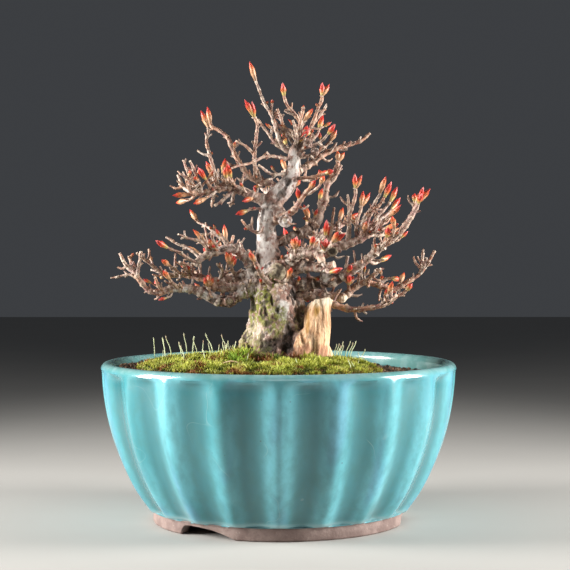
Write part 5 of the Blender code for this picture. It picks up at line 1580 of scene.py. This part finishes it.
    @staticmethod
    def patches(seen: Array, facing: Array, flare: Array, ragged: Array) -> dict:
        """Lay the drawn patches on the front, and ragged moss and lichen on the back.

        Args:
            seen: where the eye sees each corner.
            facing: how far each corner faces the eye.
            flare: 1 low down and 0 above the roots.
            ragged: roughens the patches' rims.

        Returns:
            For each mark, how strong it is at each corner.
        """
        marks = {mark: np.zeros(len(seen)) for mark in Mark}
        for patch in itertools.starmap(Patch, PATCHES):
            cover = patch.strength * facing * soft_step(1.25 - oval(seen, patch) + ragged, 0.0, 0.5)
            marks[patch.mark] = np.maximum(marks[patch.mark], cover)
        back = 1.0 - facing
        marks[MOSSY] = np.maximum(marks[MOSSY], back * soft_step(ragged, 0.02, 0.2) * flare * 0.7)
        marks[PALE] = np.maximum(marks[PALE], back * soft_step(-ragged, 0.05, 0.2) * 0.7)
        return marks

    @staticmethod
    def wounds(seen: Array, near: Array, facing: Array, lumps: Array, marks: dict) -> tuple:
        """Shape the healed cuts: a domed or hollow pad, a groove at its rim, and bark rolled up round it.

        Args:
            seen: where the eye sees each corner.
            near: 1 where a corner faces the eye and isn't far back.
            facing: how far each corner faces the eye.
            lumps: makes the rims uneven.
            marks: the patches, to which the hollow pads are added as painted shade.

        Returns:
            How much of a pad each corner is, and how far it is raised.
        """
        pad, roll = np.zeros(len(seen)), np.zeros(len(seen))
        for wound in WOUNDS:
            reach = oval(seen, wound) + 0.10 * lumps
            pad = np.maximum(pad, soft_step(-reach, -1.0, -0.9) * facing)
            roll = roll + near * min(wound.half_width, 2.4) * (
                0.16 * wound.dome * np.maximum(1.0 - reach**2, 0.0)
                - 0.22 * np.exp(-(((reach - 1.0) / 0.10) ** 2))
                + 0.34 * np.exp(-(((reach - 1.24) / 0.16) ** 2))
            )
            # a hollow pad is drawn dark as painted shade
            if wound.dome < 0:
                marks[HOLLOW] = np.maximum(marks[HOLLOW], soft_step(-reach, -0.9, -0.5) * facing)
        return pad, roll

    def barked(self) -> Surface:
        """The fused skin with its bark: corners move along their normals by lumps, plates, pits and scars."""
        surface = self.fused(self.shapes())
        surface.smoothed(4, 0.5)
        corners, normal = surface.corners, surface.normals()
        follow, radius, dead = self.along_bones(corners)
        lumps = Field(31).at(corners, 4.6, 2)
        plates = Field(32).at(follow, 2.2, 2)
        rough = Field(33).at(corners, 1.3, 2)
        pits = soft_step(Field(37).at(follow, 1.7, 2), 0.30, 0.62)
        grain = Field(34).at(corners * np.array((1.0, 1.0, 0.09)), 1.1, 2)
        weathered = 0.30 * grain + 0.22 * Field(35).at(corners * np.array((1, 1, 0.25)), 3.0, 2)
        ragged = 0.35 * Field(36).at(corners, 2.2, 3)
        scale = np.clip(radius * 0.085, 0.06, 0.50)
        flare = soft_step(-corners[:, 2], -68.0, -55.0)
        living = scale * (0.9 * lumps + 0.75 * plates + 0.65 * rough - 0.9 * pits)
        living = living + flare * (0.8 * lumps + 0.3 * rough)
        seen, facing = as_seen(corners), soft_step(-normal[:, 1], -0.2, 0.3)
        past = seen[:, 0] - np.interp(seen[:, 1], *np.array(self.dead_edge).T) - 0.8 * lumps
        low_wood = soft_step(-corners[:, 2], -75.5, -74.5)
        dead = np.maximum(dead * (seen[:, 0] > 7.0), soft_step(past, -0.3, 0.4) * facing * low_wood)
        marks = self.patches(seen, facing, flare, ragged)
        near = facing * (np.abs(corners[:, 1]) < 14.0)
        pad, roll = self.wounds(seen, near, facing, lumps, marks)
        living = living * (1.0 - 0.6 * pad) * (1.0 - 0.5 * marks[PALE] * (corners[:, 2] > 84.0)) + roll
        sink = 0.9 * marks[HOLLOW] * np.clip(radius * 0.12, 0.3, 1.0)
        surface.corners = corners + normal * ((1 - dead) * living + dead * weathered - sink)[:, None]
        height = surface.corners[:, 2]
        relief = (1 - dead) * (1 - 0.6 * marks[PALE]) * (0.5 * plates + 0.5 * rough - 0.8 * pits)
        surface.values = {mark.value: cover for mark, cover in marks.items()} | {
            "pad": pad,
            "dead": dead,
            "rim": dead * soft_step(height, 70.6, 73.0) * soft_step(np.abs(grain), 0.0, 0.25),
            "relief": relief + dead * 0.4 * grain,
        }
        return surface

    def make(self) -> bpy.types.Object:
        """The barked wood as an object."""
        obj = self.barked().made("trunk_and_limbs", Bark())
        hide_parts("tree")
        return obj


@dataclass
class Shoots:
    """The twigs and buds."""

    growth: Growth
    sides: int = 8
    spur_spacing: tuple = (1.8, 4.2)
    spur_length: tuple = (1.4, 4.4)
    spur_radii: tuple = (0.5, 0.38, 0.24)
    spur_reach: float = 0.72
    spur_least: float = 0.62
    node_most: float = 1.7
    sheaths: tuple = ((4.9, 91.6), (14.6, 88.9), (-22.2, 78.2), (23.4, 77.6), (-15.8, 84.6))
    sheath_fan: tuple = ((-1.4, 3.0), (0.3, 3.8), (1.6, 2.7))
    sheath_radius: float = 0.82
    bud_steps: tuple = (0.0, 0.14, 0.34, 0.56, 0.76, 0.90, 1.0)
    bud_girth: tuple = (0.55, 0.62, 0.84, 1.0, 0.70, 0.34, 0.05)
    scale_cover: tuple = (0.50, 0.78, 0.96)
    pieces: list[Surface] = field(default_factory=list)
    buds: list[Surface] = field(default_factory=list)

    def __post_init__(self) -> None:
        """Add side buds, pruned stubs and fine spurs along the twigs and limbs."""
        self.rng = random.Random(SEED + 1)
        self.uneven = Field(61)
        self.top = max(float(tip[2]) for _, tip, _ in self.growth.buds) - 1.0
        for path, cut in self.growth.twigs:
            self.add_twig(path, cut)
            self.add_nodes(path)
            self.add_spurs(path)
        for base, tip, radius in self.growth.buds:
            self.add_bud(base, tip, radius)
        self.add_sheaths()

    def add_sheaths(self) -> None:
        """Opened buds in threes, fanned out from the front of the wood nearest to each drawn place."""
        points = np.concatenate([path.points for path, _ in self.growth.twigs])
        radii = np.concatenate([path.radii for path, _ in self.growth.twigs])
        seen = as_seen(points)
        for across, height in self.sheaths:
            gap = np.hypot(seen[:, 0] - across, seen[:, 1] - height)
            i = int(np.argmin(np.where(gap < gap.min() + 1.0, points[:, 1] - radii, np.inf)))
            foot = points[i] - np.array((0.0, 0.7 * radii[i], 0.0))
            for lean, rise in self.sheath_fan:
                self.add_bud(foot, foot + np.array((lean, -1.0, rise)), self.sheath_radius)

    def add_twig(self, path: Path, cut: bool, tint: float | None = None) -> None:
        """One twig, with rings where leaves have been and a worn or cut end.

        Args:
            path: its line.
            cut: whether its end is cut.
            tint: from 0, old, to 1, young, or None to pick one.
        """
        runs = path.lengths()
        spacing = self.rng.uniform(2.6, 4.2)
        node = np.exp(-(((((runs / spacing + 0.5) % 1.0) - 0.5) * spacing / 0.40) ** 2))
        thick = np.clip((path.radii - LIMB_LEAST_RADIUS) / 0.8, 0.0, 1.0)
        uneven = self.uneven.at(path.points, 1.3, 2)
        swell = (1.0 + 0.30 * node - 0.10 * thick)[:, None] + 0.16 * uneven[:, None]
        ends = soft_step(runs, runs[-1] - 0.5, runs[-1] - 0.25) if cut else np.zeros(len(runs))
        if tint is None:
            tint = self.rng.random() ** 1.4 * 0.9
        tone = np.clip(tint + 0.5 * runs / runs[-1] - 0.25, 0.0, 1.0) * (1 - thick)
        values = {"node": (node * (1 - thick))[:, None], "cut": ends[:, None], "tint": tone[:, None]}
        self.pieces.append(path.tube(self.sides + 4 * int(path.radii[0] > 1.2), values, swell))

    def heading(self, path: Path, i: int, hand: int, quarter: int, lean: tuple) -> Array:
        """A way out of a twig, to one side or the other, leaning along it and up.

        Args:
            path: the twig's line.
            i: which of its points.
            hand: -1 or 1, for the side.
            quarter: odd or even, for which pair of sides.
            lean: the least and most lean along it.

        Returns:
            The way, at length 1.
        """
        along, side, across = (frame[i] for frame in path.frames())
        sideways = side if quarter % 2 else across
        return unit(sideways * hand + along * self.rng.uniform(*lean) + 0.25 * np.array(UP))

    def add_nodes(self, path: Path) -> None:
        """Small side buds and stubs in opposite pairs along a twig."""
        runs = path.lengths()
        at = self.rng.uniform(2.0, 3.6)
        quarter = 0
        while at < runs[-1] - 1.0:
            i = int(np.searchsorted(runs, at))
            quarter += 1
            at += self.rng.uniform(2.4, 4.0)
            radius = float(path.radii[i])
            if path.points[i][2] > self.top or radius > self.node_most:
                continue
            for hand in (-1, 1):
                pick = self.rng.random()
                if pick < 0.48:
                    continue
                heading = self.heading(path, i, hand, quarter, (0.5, 1.1))
                root = path.points[i] + heading * radius * 0.6
                if pick < 0.94:
                    length = self.rng.uniform(0.5, 1.5)
                    stub = Path.through([root, root + heading * (radius + length)], [0.36, 0.26], 0.4)
                    self.add_twig(stub, pick < 0.6)
                else:
                    foot = root + heading * radius * 0.4
                    length = self.rng.uniform(0.9, 1.9)
                    self.add_bud(foot, foot + heading * length, 0.26 + 0.08 * length, 0.75)

    def add_spurs(self, path: Path) -> None:
        """Fine curved spurs on old wood, some ending in a slim bud."""
        runs = path.lengths()
        if path.radii[0] < self.spur_least:
            return
        at = self.rng.uniform(1.5, 4.0)
        quarter = 0
        while at < runs[-1] * self.spur_reach:
            i = int(np.searchsorted(runs, at))
            radius = float(path.radii[i])
            quarter += 1
            at += self.rng.uniform(*self.spur_spacing)
            hand = self.rng.choice((-1, 1))
            heading = self.heading(path, i, hand, quarter, (0.0, 0.8))
            length = self.rng.uniform(*self.spur_length)
            root = path.points[i] + heading * radius * 0.5
            sway = np.array([self.rng.uniform(*span) for span in ((-0.5, 0.5), (-0.5, 0.5), (0.3, 0.9))])
            elbow = root + heading * (length * 0.5 + radius * 0.5)
            tip = elbow + unit(heading + sway) * length * 0.6
            if tip[2] > self.top:
                continue
            spur = Path.through([root, elbow, tip], self.spur_radii, 0.4).bent(self.uneven, 0.25, 2.0)
            self.add_twig(spur, False, self.rng.random())
            if self.rng.random() < 0.18:
                end = spur.points[-1]
                way = unit(end - spur.points[-3])
                self.add_bud(end - way * 0.2, end + way * self.rng.uniform(1.6, 3.4), 0.42, 0.2)

    def add_bud(self, base: Array, tip: Array, radius: float, brown: float = 0.0) -> None:
        """A slim pointed bud: a core and three pairs of scales wrapped over each other.

        Each ring is base + height along the bud + reach round it, with the reach read from the bud's girth.

        Args:
            base: its foot.
            tip: its tip.
            radius: its radius where it is widest.
            brown: how brown it is.
        """
        along, side, across = (frame[0] for frame in Path(np.linspace(base, tip, 12), np.ones(12)).frames())
        length = float(np.linalg.norm(tip - base))
        tint = self.rng.random()
        turn = self.rng.uniform(0.0, math.tau)

        def scale(t: Array, angle: Array, reach: Array, cover: float, tone: float) -> Surface:
            """A closed skin at a reach and an angle round the bud, as far along it as t says."""
            spoke = np.cos(angle)[..., None] * side + np.sin(angle)[..., None] * across
            rings = base + (length * cover * t + 0 * angle)[..., None] * along + reach[..., None] * spoke
            return skin(rings, {"along": t * cover, "tint": tone, "brown": brown})

        t = np.linspace(0.0, 1.0, 8)[:, None]
        angle = turn_angles(8)[None, :] + 0 * t
        core = radius * np.interp(t, self.bud_steps, self.bud_girth) * 0.9 + 0 * angle
        parts = [scale(t, angle, core, 1.0, tint)]
        t = np.linspace(0.0, 1.0, 5)[:, None]
        half = 1.3 * np.sqrt(1.0 - 0.97 * t**2)
        spread = np.concatenate([np.linspace(-1, 1, 5), np.linspace(1, -1, 5)])[None, :]
        thick = np.repeat([0.05, -0.03], 5)[None, :]
        for pair, cover in enumerate(self.scale_cover):
            girth = radius * np.interp(t * cover, self.bud_steps, self.bud_girth) * (1.08 - 0.04 * pair)
            reach = girth + thick + 0.08 * t * (2 - pair)
            for hand in (0.0, math.pi):
                angle = turn + hand + pair * math.pi / 2 - half * spread
                parts.append(scale(t, angle, reach, cover, min(tint + 0.08 * (2 - pair), 1.0)))
        self.buds.append(Surface.joined(parts))

    def make(self) -> list:
        """The twigs and the buds as two objects."""
        twigs = Surface.joined(self.pieces).made("twigs", TwigBark())
        buds = Surface.joined(self.buds).made("buds", BudScales())
        for obj in (twigs, buds):
            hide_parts("tree")
        return [twigs, buds]


@dataclass
class Ground:
    """Heights of the soil and the moss."""

    level: float = 49.2
    tilt: float = -0.028
    mound_height: float = 2.2
    mound_spread: float = 22.0
    clearance: float = 0.4
    moss_thickness: float = 2.9
    moss_lip: float = 1.2

    @staticmethod
    def crumble(x: Array, y: Array, lift: float, scale: float) -> Array:
        """The gentle relief that the solids have, from about -1 to 1: lift picks one out of many."""
        flat = [noise.noise(Vector((a, b, lift)) * scale) for a, b in zip(x.ravel(), y.ravel())]
        return np.array(flat).reshape(x.shape)

    def soil(self, x: Array, y: Array) -> Array:
        """Height of the soil: its tilted level, the mound round the tree and a gentle relief."""
        mound = self.mound_height * np.exp(-((x - TREE_ACROSS) ** 2 + y * y) / self.mound_spread**2)
        return self.level + self.tilt * x + mound + 0.2 * self.crumble(x, y, 0.0, 0.16)

    @staticmethod
    def moss_edge(angle: Array) -> Array:
        """Distance from the tree to the ragged edge of the moss: a circle with three waves round it."""
        return 38.5 - 8.5 * np.cos(angle) + 2.0 * np.cos(3 * angle + 1.0) + 1.8 * np.sin(5 * angle)

    def share(self, x: Array, y: Array) -> Array:
        """0 at the tree and 1 at the moss's edge."""
        return np.hypot(x - TREE_ACROSS, y) / self.moss_edge(np.arctan2(y, x - TREE_ACROSS))

    def moss(self, x: Array, y: Array) -> Array:
        """Height of the moss: the soil's, its lip, and its thickness and cushions, which fall to its edge."""
        cushions = 1.5 * self.crumble(x, y, 9.0, 0.14) + 0.8 * self.crumble(x, y, 4.0, 0.3)
        fall = np.sqrt(np.maximum(1.0 - self.share(x, y) ** 2, 0.0))
        full = self.moss_thickness - self.moss_lip + cushions
        return self.soil(x, y) + self.clearance + self.moss_lip + full * fall


@dataclass
class Moss:
    """The moss mat, its leafy shoots and its spore stalks."""

    ground: Ground
    shoots: int = 15000
    leaves_per_shoot: int = 5
    mat_steps: int = 180
    mat_rings: int = 46
    mat_inside: float = 0.28
    hugging: tuple = (0.33, 0.09)
    fresh_tuft: tuple = (-12.6, -14.0, 24.0)
    loose_stalks: int = 46
    stalk_radii: tuple = (0.17, 0.15, 0.13, 0.13)

    def __post_init__(self) -> None:
        """Seed the random places."""
        self.rng = np.random.default_rng(SEED + 2)
        self.patches = Field(41)

    def mat(self) -> bpy.types.Object:
        """The thatch that the shoots stand in: the moss's height, lower and rougher, its rim sunk."""
        angle = turn_angles(self.mat_steps)[None, :]
        share = np.append(1.0, np.linspace(1.0, self.mat_inside, self.mat_rings))[:, None]
        reach = share * self.ground.moss_edge(angle)
        places = round_points(reach, angle, 0.0, (TREE_ACROSS, 0.0))
        x, y = places[..., 0], places[..., 1]
        places[..., 2] = self.ground.moss(x, y) - 0.35 + 0.3 * Field(42).at(places, 1.6, 2)
        places[0, :, 2] = self.ground.soil(x[0], y[0]) + 0.1
        obj = skin(places, ends=False).made("moss_thatch", MossThatch())
        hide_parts("moss")
        return obj

    def places(self, count: int) -> tuple:
        """Random places on the moss, as across, depth and share of the way to its edge."""
        share = np.sqrt(self.rng.uniform(0.09, 1.12, count))
        angle = self.rng.uniform(0.0, math.tau, count)
        reach = share * self.ground.moss_edge(angle)
        return TREE_ACROSS + reach * np.cos(angle), reach * np.sin(angle), share

    def shoot_looks(self, x: Array, y: Array, share: Array) -> tuple:
        """How large each shoot is, and its colours.

        Args:
            x: the shoots' places across.
            y: their places in depth.
            share: how far out they stand.

        Returns:
            Their sizes, tints, rust and freshness.
        """
        spot = np.stack([x, y, np.zeros_like(x)], axis=1)
        patch = self.patches.at(spot, 7.0, 2)
        clump = self.patches.at(spot + 240.0, 2.4, 2)
        size = self.rng.uniform(1.2, 2.7, len(x)) * (1.0 - 0.40 * share) * (1.0 + 0.30 * patch + 0.45 * clump)
        tint = np.clip(0.5 + 0.40 * patch + 0.45 * clump + self.rng.normal(0.0, 0.2, len(x)), 0.0, 1.0)
        rusty = self.patches.at(spot + 80.0, 6.0, 2) + self.rng.normal(0.0, 0.22, len(x))
        rust = soft_step(rusty, 0.3, 0.6) + 0.6 * soft_step(share, 0.9, 1.0) * (self.rng.random(len(x)) < 0.5)
        across, back, spread = self.fresh_tuft
        near = np.exp(-(((x - across) ** 2 + (y - back) ** 2) / spread))
        fresh = soft_step(near + 0.5 * self.patches.at(spot + 160.0, 9.0, 2), 0.3, 0.7)
        at, width = self.hugging
        hugging = np.exp(-(((share - at) / width) ** 2))
        size = size * (1.0 + (0.8 * near**2 + 0.9 * hugging) * self.rng.random(len(x)))
        return size, tint, rust, fresh

    def leaves(self) -> bpy.types.Object:
        """Every leafy shoot: a tuft of pointed leaves, each a kite from the foot out and up to its tip."""
        x, y, share = self.places(self.shoots)
        level = np.where(share > 1.0, self.ground.soil(x, y) - 0.2, self.ground.moss(x, y) - 0.45)
        size, tint, rust, fresh = self.shoot_looks(x, y, share)
        turn = self.rng.uniform(0.0, math.tau, self.shoots)
        lean = self.rng.normal(0.0, 0.22, (self.shoots, 2))
        rise = np.append(lean, np.ones((self.shoots, 1)), axis=1)
        foot = np.stack([x, y, level], axis=1)
        s = size[:, None]
        parts = []
        for k in range(self.leaves_per_shoot):
            out = round_points(1.0, turn + math.tau * k / self.leaves_per_shoot, 0.0)
            across = np.stack([-out[:, 1], out[:, 0], out[:, 2]], axis=1)
            middle = foot + rise * s * 0.55 + out * s * 0.22
            tip = foot + rise * s * self.rng.uniform(0.8, 1.15, (self.shoots, 1)) + out * s * 0.5
            wide = across * 0.15 * np.sqrt(s)
            parts.append(np.stack([foot, middle - wide, tip, middle + wide], axis=1))
        corners = np.stack(parts, axis=1).reshape(-1, 3)
        index = np.arange(len(corners)).reshape(-1, 4)
        shades = {"tint": tint, "rust": np.clip(rust, 0, 1), "fresh": fresh * (rust < 0.5)}
        values = {name: np.repeat(shade, 4 * self.leaves_per_shoot) for name, shade in shades.items()}
        values["along"] = np.tile([0.0, 0.6, 1.0, 0.6], len(index))
        obj = Surface(corners, index, NO_TRIANGLES, values).made("moss_leaves", MossLeaf(), sharp_deg=180.0)
        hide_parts("moss")
        return obj

    def stands(self, rng: random.Random) -> list:
        """Where the stalks stand: the drawn ones, and shorter ones between that leave the front open.

        Args:
            rng: picks the shorter ones' heights and leans.

        Returns:
            For each stalk, its place across and in depth, its height, its lean and its girth.
        """
        stands = [(*stalk, 1.0) for stalk in STALKS]
        for a, b, s in zip(*self.places(self.loose_stalks)):
            in_front = b < -12.0 and -10.0 < a < 22.0
            if 0.4 < s < 0.92 and not in_front:
                stands.append((float(a), float(b), rng.uniform(2.2, 5.0), rng.uniform(-1.4, 1.0), 0.8))
        return stands

    def stalks(self) -> bpy.types.Object:
        """Spore stalks with their capsules: each a tube on a line that leans, swollen near its top."""
        rng = random.Random(SEED + 3)
        parts = []
        for a, b, tall, lean, girth in self.stands(rng):
            level = float(self.ground.moss(np.array([a]), np.array([b]))[0])
            foot = np.array((a, b, level - 1.0))
            top = np.array((a + lean, b + rng.uniform(-0.4, 0.4), level + tall))
            knee = foot + (top - foot) * 0.55 + np.array((lean * -0.18, 0.0, 0.3))
            neck = foot + (top - foot) * 0.84
            stalk = Path.through([foot, knee, neck, top], self.stalk_radii, 0.5)
            runs = stalk.lengths() / stalk.lengths()[-1]
            pod = np.exp(-(((runs - 0.92) / 0.05) ** 2))
            stalk.radii = (stalk.radii + 0.07 * pod) * girth * (1.0 - 0.8 * soft_step(runs, 0.97, 1.0))
            parts.append(stalk.tube(6, {"along": runs[:, None], "tint": rng.random()}))
        obj = Surface.joined(parts).made("moss_stalks", StalkSkin())
        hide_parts("moss")
        return obj

    def make(self) -> list:
        """The mat, the leaves and the stalks."""
        return [self.mat(), self.leaves(), self.stalks()]


@dataclass
class Grains:
    """Loose grains on the soil between the moss and the pot's wall."""

    ground: Ground
    count: int = 3000
    sizes: tuple = (0.35, 0.95)
    wall: float = RIM_RADIUS - 2 * LIP_HALF_THICKNESS - 1.0
    bare_from: float = 0.96
    golden: float = (1.0 + math.sqrt(5.0)) / 2.0

    def pebble(self) -> tuple:
        """The corners and faces of a regular solid with twelve corners, at radius 1.

        Returns:
            The corners, and the faces with their corners in the order that points them outwards.
        """
        long = self.golden
        signs = list(itertools.product((-1, 1), repeat=2))
        shell = [(a, b * long, 0.0) for a, b in signs]
        shell += [(0.0, a, b * long) for a, b in signs]
        shell += [(b * long, 0.0, a) for a, b in signs]
        shell = np.array(shell) / math.hypot(1.0, long)
        near = np.linalg.norm(shell[:, None] - shell[None], axis=2) < 1.1
        faces = []
        for i, j, k in itertools.combinations(range(len(shell)), 3):
            if near[i, j] and near[j, k] and near[i, k]:
                outward = np.dot(np.cross(shell[j] - shell[i], shell[k] - shell[i]), shell[i]) > 0
                faces.append((i, j, k) if outward else (i, k, j))
        return shell, np.array(faces)

    def make(self) -> bpy.types.Object:
        """The grains as one object: each a pebble, squashed and roughened, half sunk in the soil."""
        rng = np.random.default_rng(SEED + 4)
        radius = self.wall * np.sqrt(rng.uniform(0.2, 1.0, 4 * self.count))
        angle = rng.uniform(0.0, math.tau, 4 * self.count)
        x, y = radius * np.cos(angle), radius * np.sin(angle)
        bare = np.flatnonzero(self.ground.share(x, y) > self.bare_from)[: self.count]
        x, y = x[bare], y[bare]
        size = rng.uniform(*self.sizes, len(x)) ** 1.4
        shell, faces = self.pebble()
        rough = 1.0 + rng.uniform(-0.22, 0.22, (len(x), len(shell), 1))
        squash = rng.uniform(0.65, 1.15, (len(x), 1, 3))
        foot = np.stack([x, y, self.ground.soil(x, y) + 0.35 * size], axis=1)
        corners = foot[:, None] + shell[None] * rough * squash * size[:, None, None]
        index = np.arange(len(x))[:, None, None] * len(shell) + faces[None]
        values = {"tint": np.repeat(rng.random(len(x)), len(shell))}
        surface = Surface(corners.reshape(-1, 3), NO_QUADS, index.reshape(-1, 3), values)
        obj = surface.made("soil_grains", Grit(), sharp_deg=20.0)
        return obj


@dataclass
class Chip:
    """A curved flake in the box of the plain one that it stands for."""

    name: str
    node: str
    finish: Flake
    hump: float
    steps: int = 26
    sides: int = 18

    def make(self) -> bpy.types.Object:
        """The flake: ovals along a humped line, their width following a blunt outline, with a rough face."""
        node = self.node
        low, high = (np.array(corner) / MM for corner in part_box(node))
        middle, half = (low + high) / 2, (high - low) / 2
        t = np.linspace(-1.0, 1.0, self.steps)[:, None]
        around = turn_angles(self.sides)[None, :]
        outline = (1.0 - np.abs(t) ** 3.2) ** 0.6 * (1.0 + 0.12 * np.sin(5.0 * t + 1.0))
        x = t * half[0] * 0.97 + 0 * around
        y = half[1] * 0.62 * outline * np.cos(around) + half[1] * 0.22 * np.sin(1.7 * t)
        z = self.hump * (1.0 - t**2) * half[2] - self.hump * 0.5 * half[2] + 0.26 * outline * np.sin(around)
        places = np.stack([x, y, z], axis=-1)
        places[..., 2] += 0.09 * Field(51).at(places * np.array((0.4, 1.0, 1.0)), 0.8, 2)
        obj = skin(places + middle).made(self.name, self.finish, sharp_deg=40.0)
        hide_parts(node)
        return obj


class Light(NamedTuple):
    """A soft rectangular light aimed at the tree."""

    name: str
    place: tuple
    size: tuple
    power: float
    colour: tuple


@dataclass
class Studio:
    """Floor, lights and camera."""

    lights: tuple = (
        Light("key_left", (-430.0, -60.0, 165.0), (190.0, 300.0), 1.98, (1.0, 0.98, 0.95)),
        Light("key_right", (440.0, -50.0, 165.0), (190.0, 300.0), 1.80, (1.0, 0.98, 0.95)),
        Light("fill_front", (60.0, -620.0, 460.0), (400.0, 200.0), 0.185, (1.0, 1.0, 1.0)),
    )
    spread_deg: float = 100.0
    light_aim: tuple = (0.0, 0.0, 70.0)
    air: tuple = (0.046, 0.049, 0.054, 1.0)
    floor_half: float = 1500.0
    lens: float = 100.6
    sensor: float = 36.0
    nearest: float = 0.01
    camera_aim: tuple = (2.1, 0.0, 78.4)

    @staticmethod
    def aim(name: str, data: bpy.types.ID, place: tuple, target: tuple) -> bpy.types.Object:
        """Put a light or a camera at a place, looking at a target.

        Args:
            name: what it is called.
            data: the light or camera.
            place: where it stands.
            target: what it looks at.

        Returns:
            Its object.
        """
        obj = bpy.data.objects.new(name, data)
        obj.location = Vector(place) * MM
        obj.rotation_euler = (Vector(target) - Vector(place)).to_track_quat("-Z", "Y").to_euler()
        bpy.context.scene.collection.objects.link(obj)
        return obj

    def hang(self, light: Light) -> None:
        """Set up one light."""
        data = bpy.data.lights.new(light.name, "AREA")
        data.shape = "RECTANGLE"
        data.size, data.size_y = (side * MM for side in light.size)
        data.spread = math.radians(self.spread_deg)
        data.energy = light.power
        data.color = light.colour
        self.aim(light.name, data, light.place, self.light_aim)

    def make(self) -> None:
        """Set everything up."""
        scene, half = bpy.context.scene, self.floor_half
        corners = np.array([(-half, -half, 0.0), (half, -half, 0.0), (half, half, 0.0), (-half, half, 0.0)])
        floor = Surface(corners, np.array([(0, 1, 2, 3)]), NO_TRIANGLES).made("floor", PaleFloor())
        world = bpy.data.worlds.new("studio")
        world.use_nodes = True
        background = world.node_tree.nodes["Background"].inputs
        background["Color"].default_value = self.air
        background["Strength"].default_value = 1.0
        scene.world = world
        scene.view_settings.view_transform = "Standard"
        for light in self.lights:
            self.hang(light)
        camera = bpy.data.cameras.new("photo_camera")
        camera.lens = self.lens
        camera.sensor_width = self.sensor
        camera.clip_start = self.nearest
        scene.camera = self.aim("photo_camera", camera, EYE, self.camera_aim)


def main() -> None:
    """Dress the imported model."""
    logging.basicConfig(level=logging.INFO, format="%(message)s")
    for obj in list(bpy.data.objects):
        bpy.data.objects.remove(obj)
    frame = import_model()
    growth, ground = Growth(), Ground()
    dark = Flake("dark_flake", colours=("#2c1a12", "#5b3a28"))
    pale = Flake("pale_flake", colours=("#a98a63", "#e0c79c"))
    pieces = [Pot().make(), Trunk(growth).make(), *Shoots(growth).make(), *Moss(ground).make()]
    pieces.append(Grains(ground).make())
    pieces.append(Chip("curled_bark_chip", "bark_chip", dark, 1.0).make())
    pieces.append(Chip("pale_wood_chip", "wood_chip", pale, 0.7).make())
    for obj in pieces:
        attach(obj, BODY)
        LOG.info("%s has %d faces", obj.name, len(obj.data.polygons))
    for node, finish in (("soil", SoilCrumb()), ("drain_screen", BlackPlastic())):
        frame["nodes"][node].data.materials.clear()
        frame["nodes"][node].data.materials.append(finish.make())
    Studio().make()


if __name__ == "__main__":
    main()
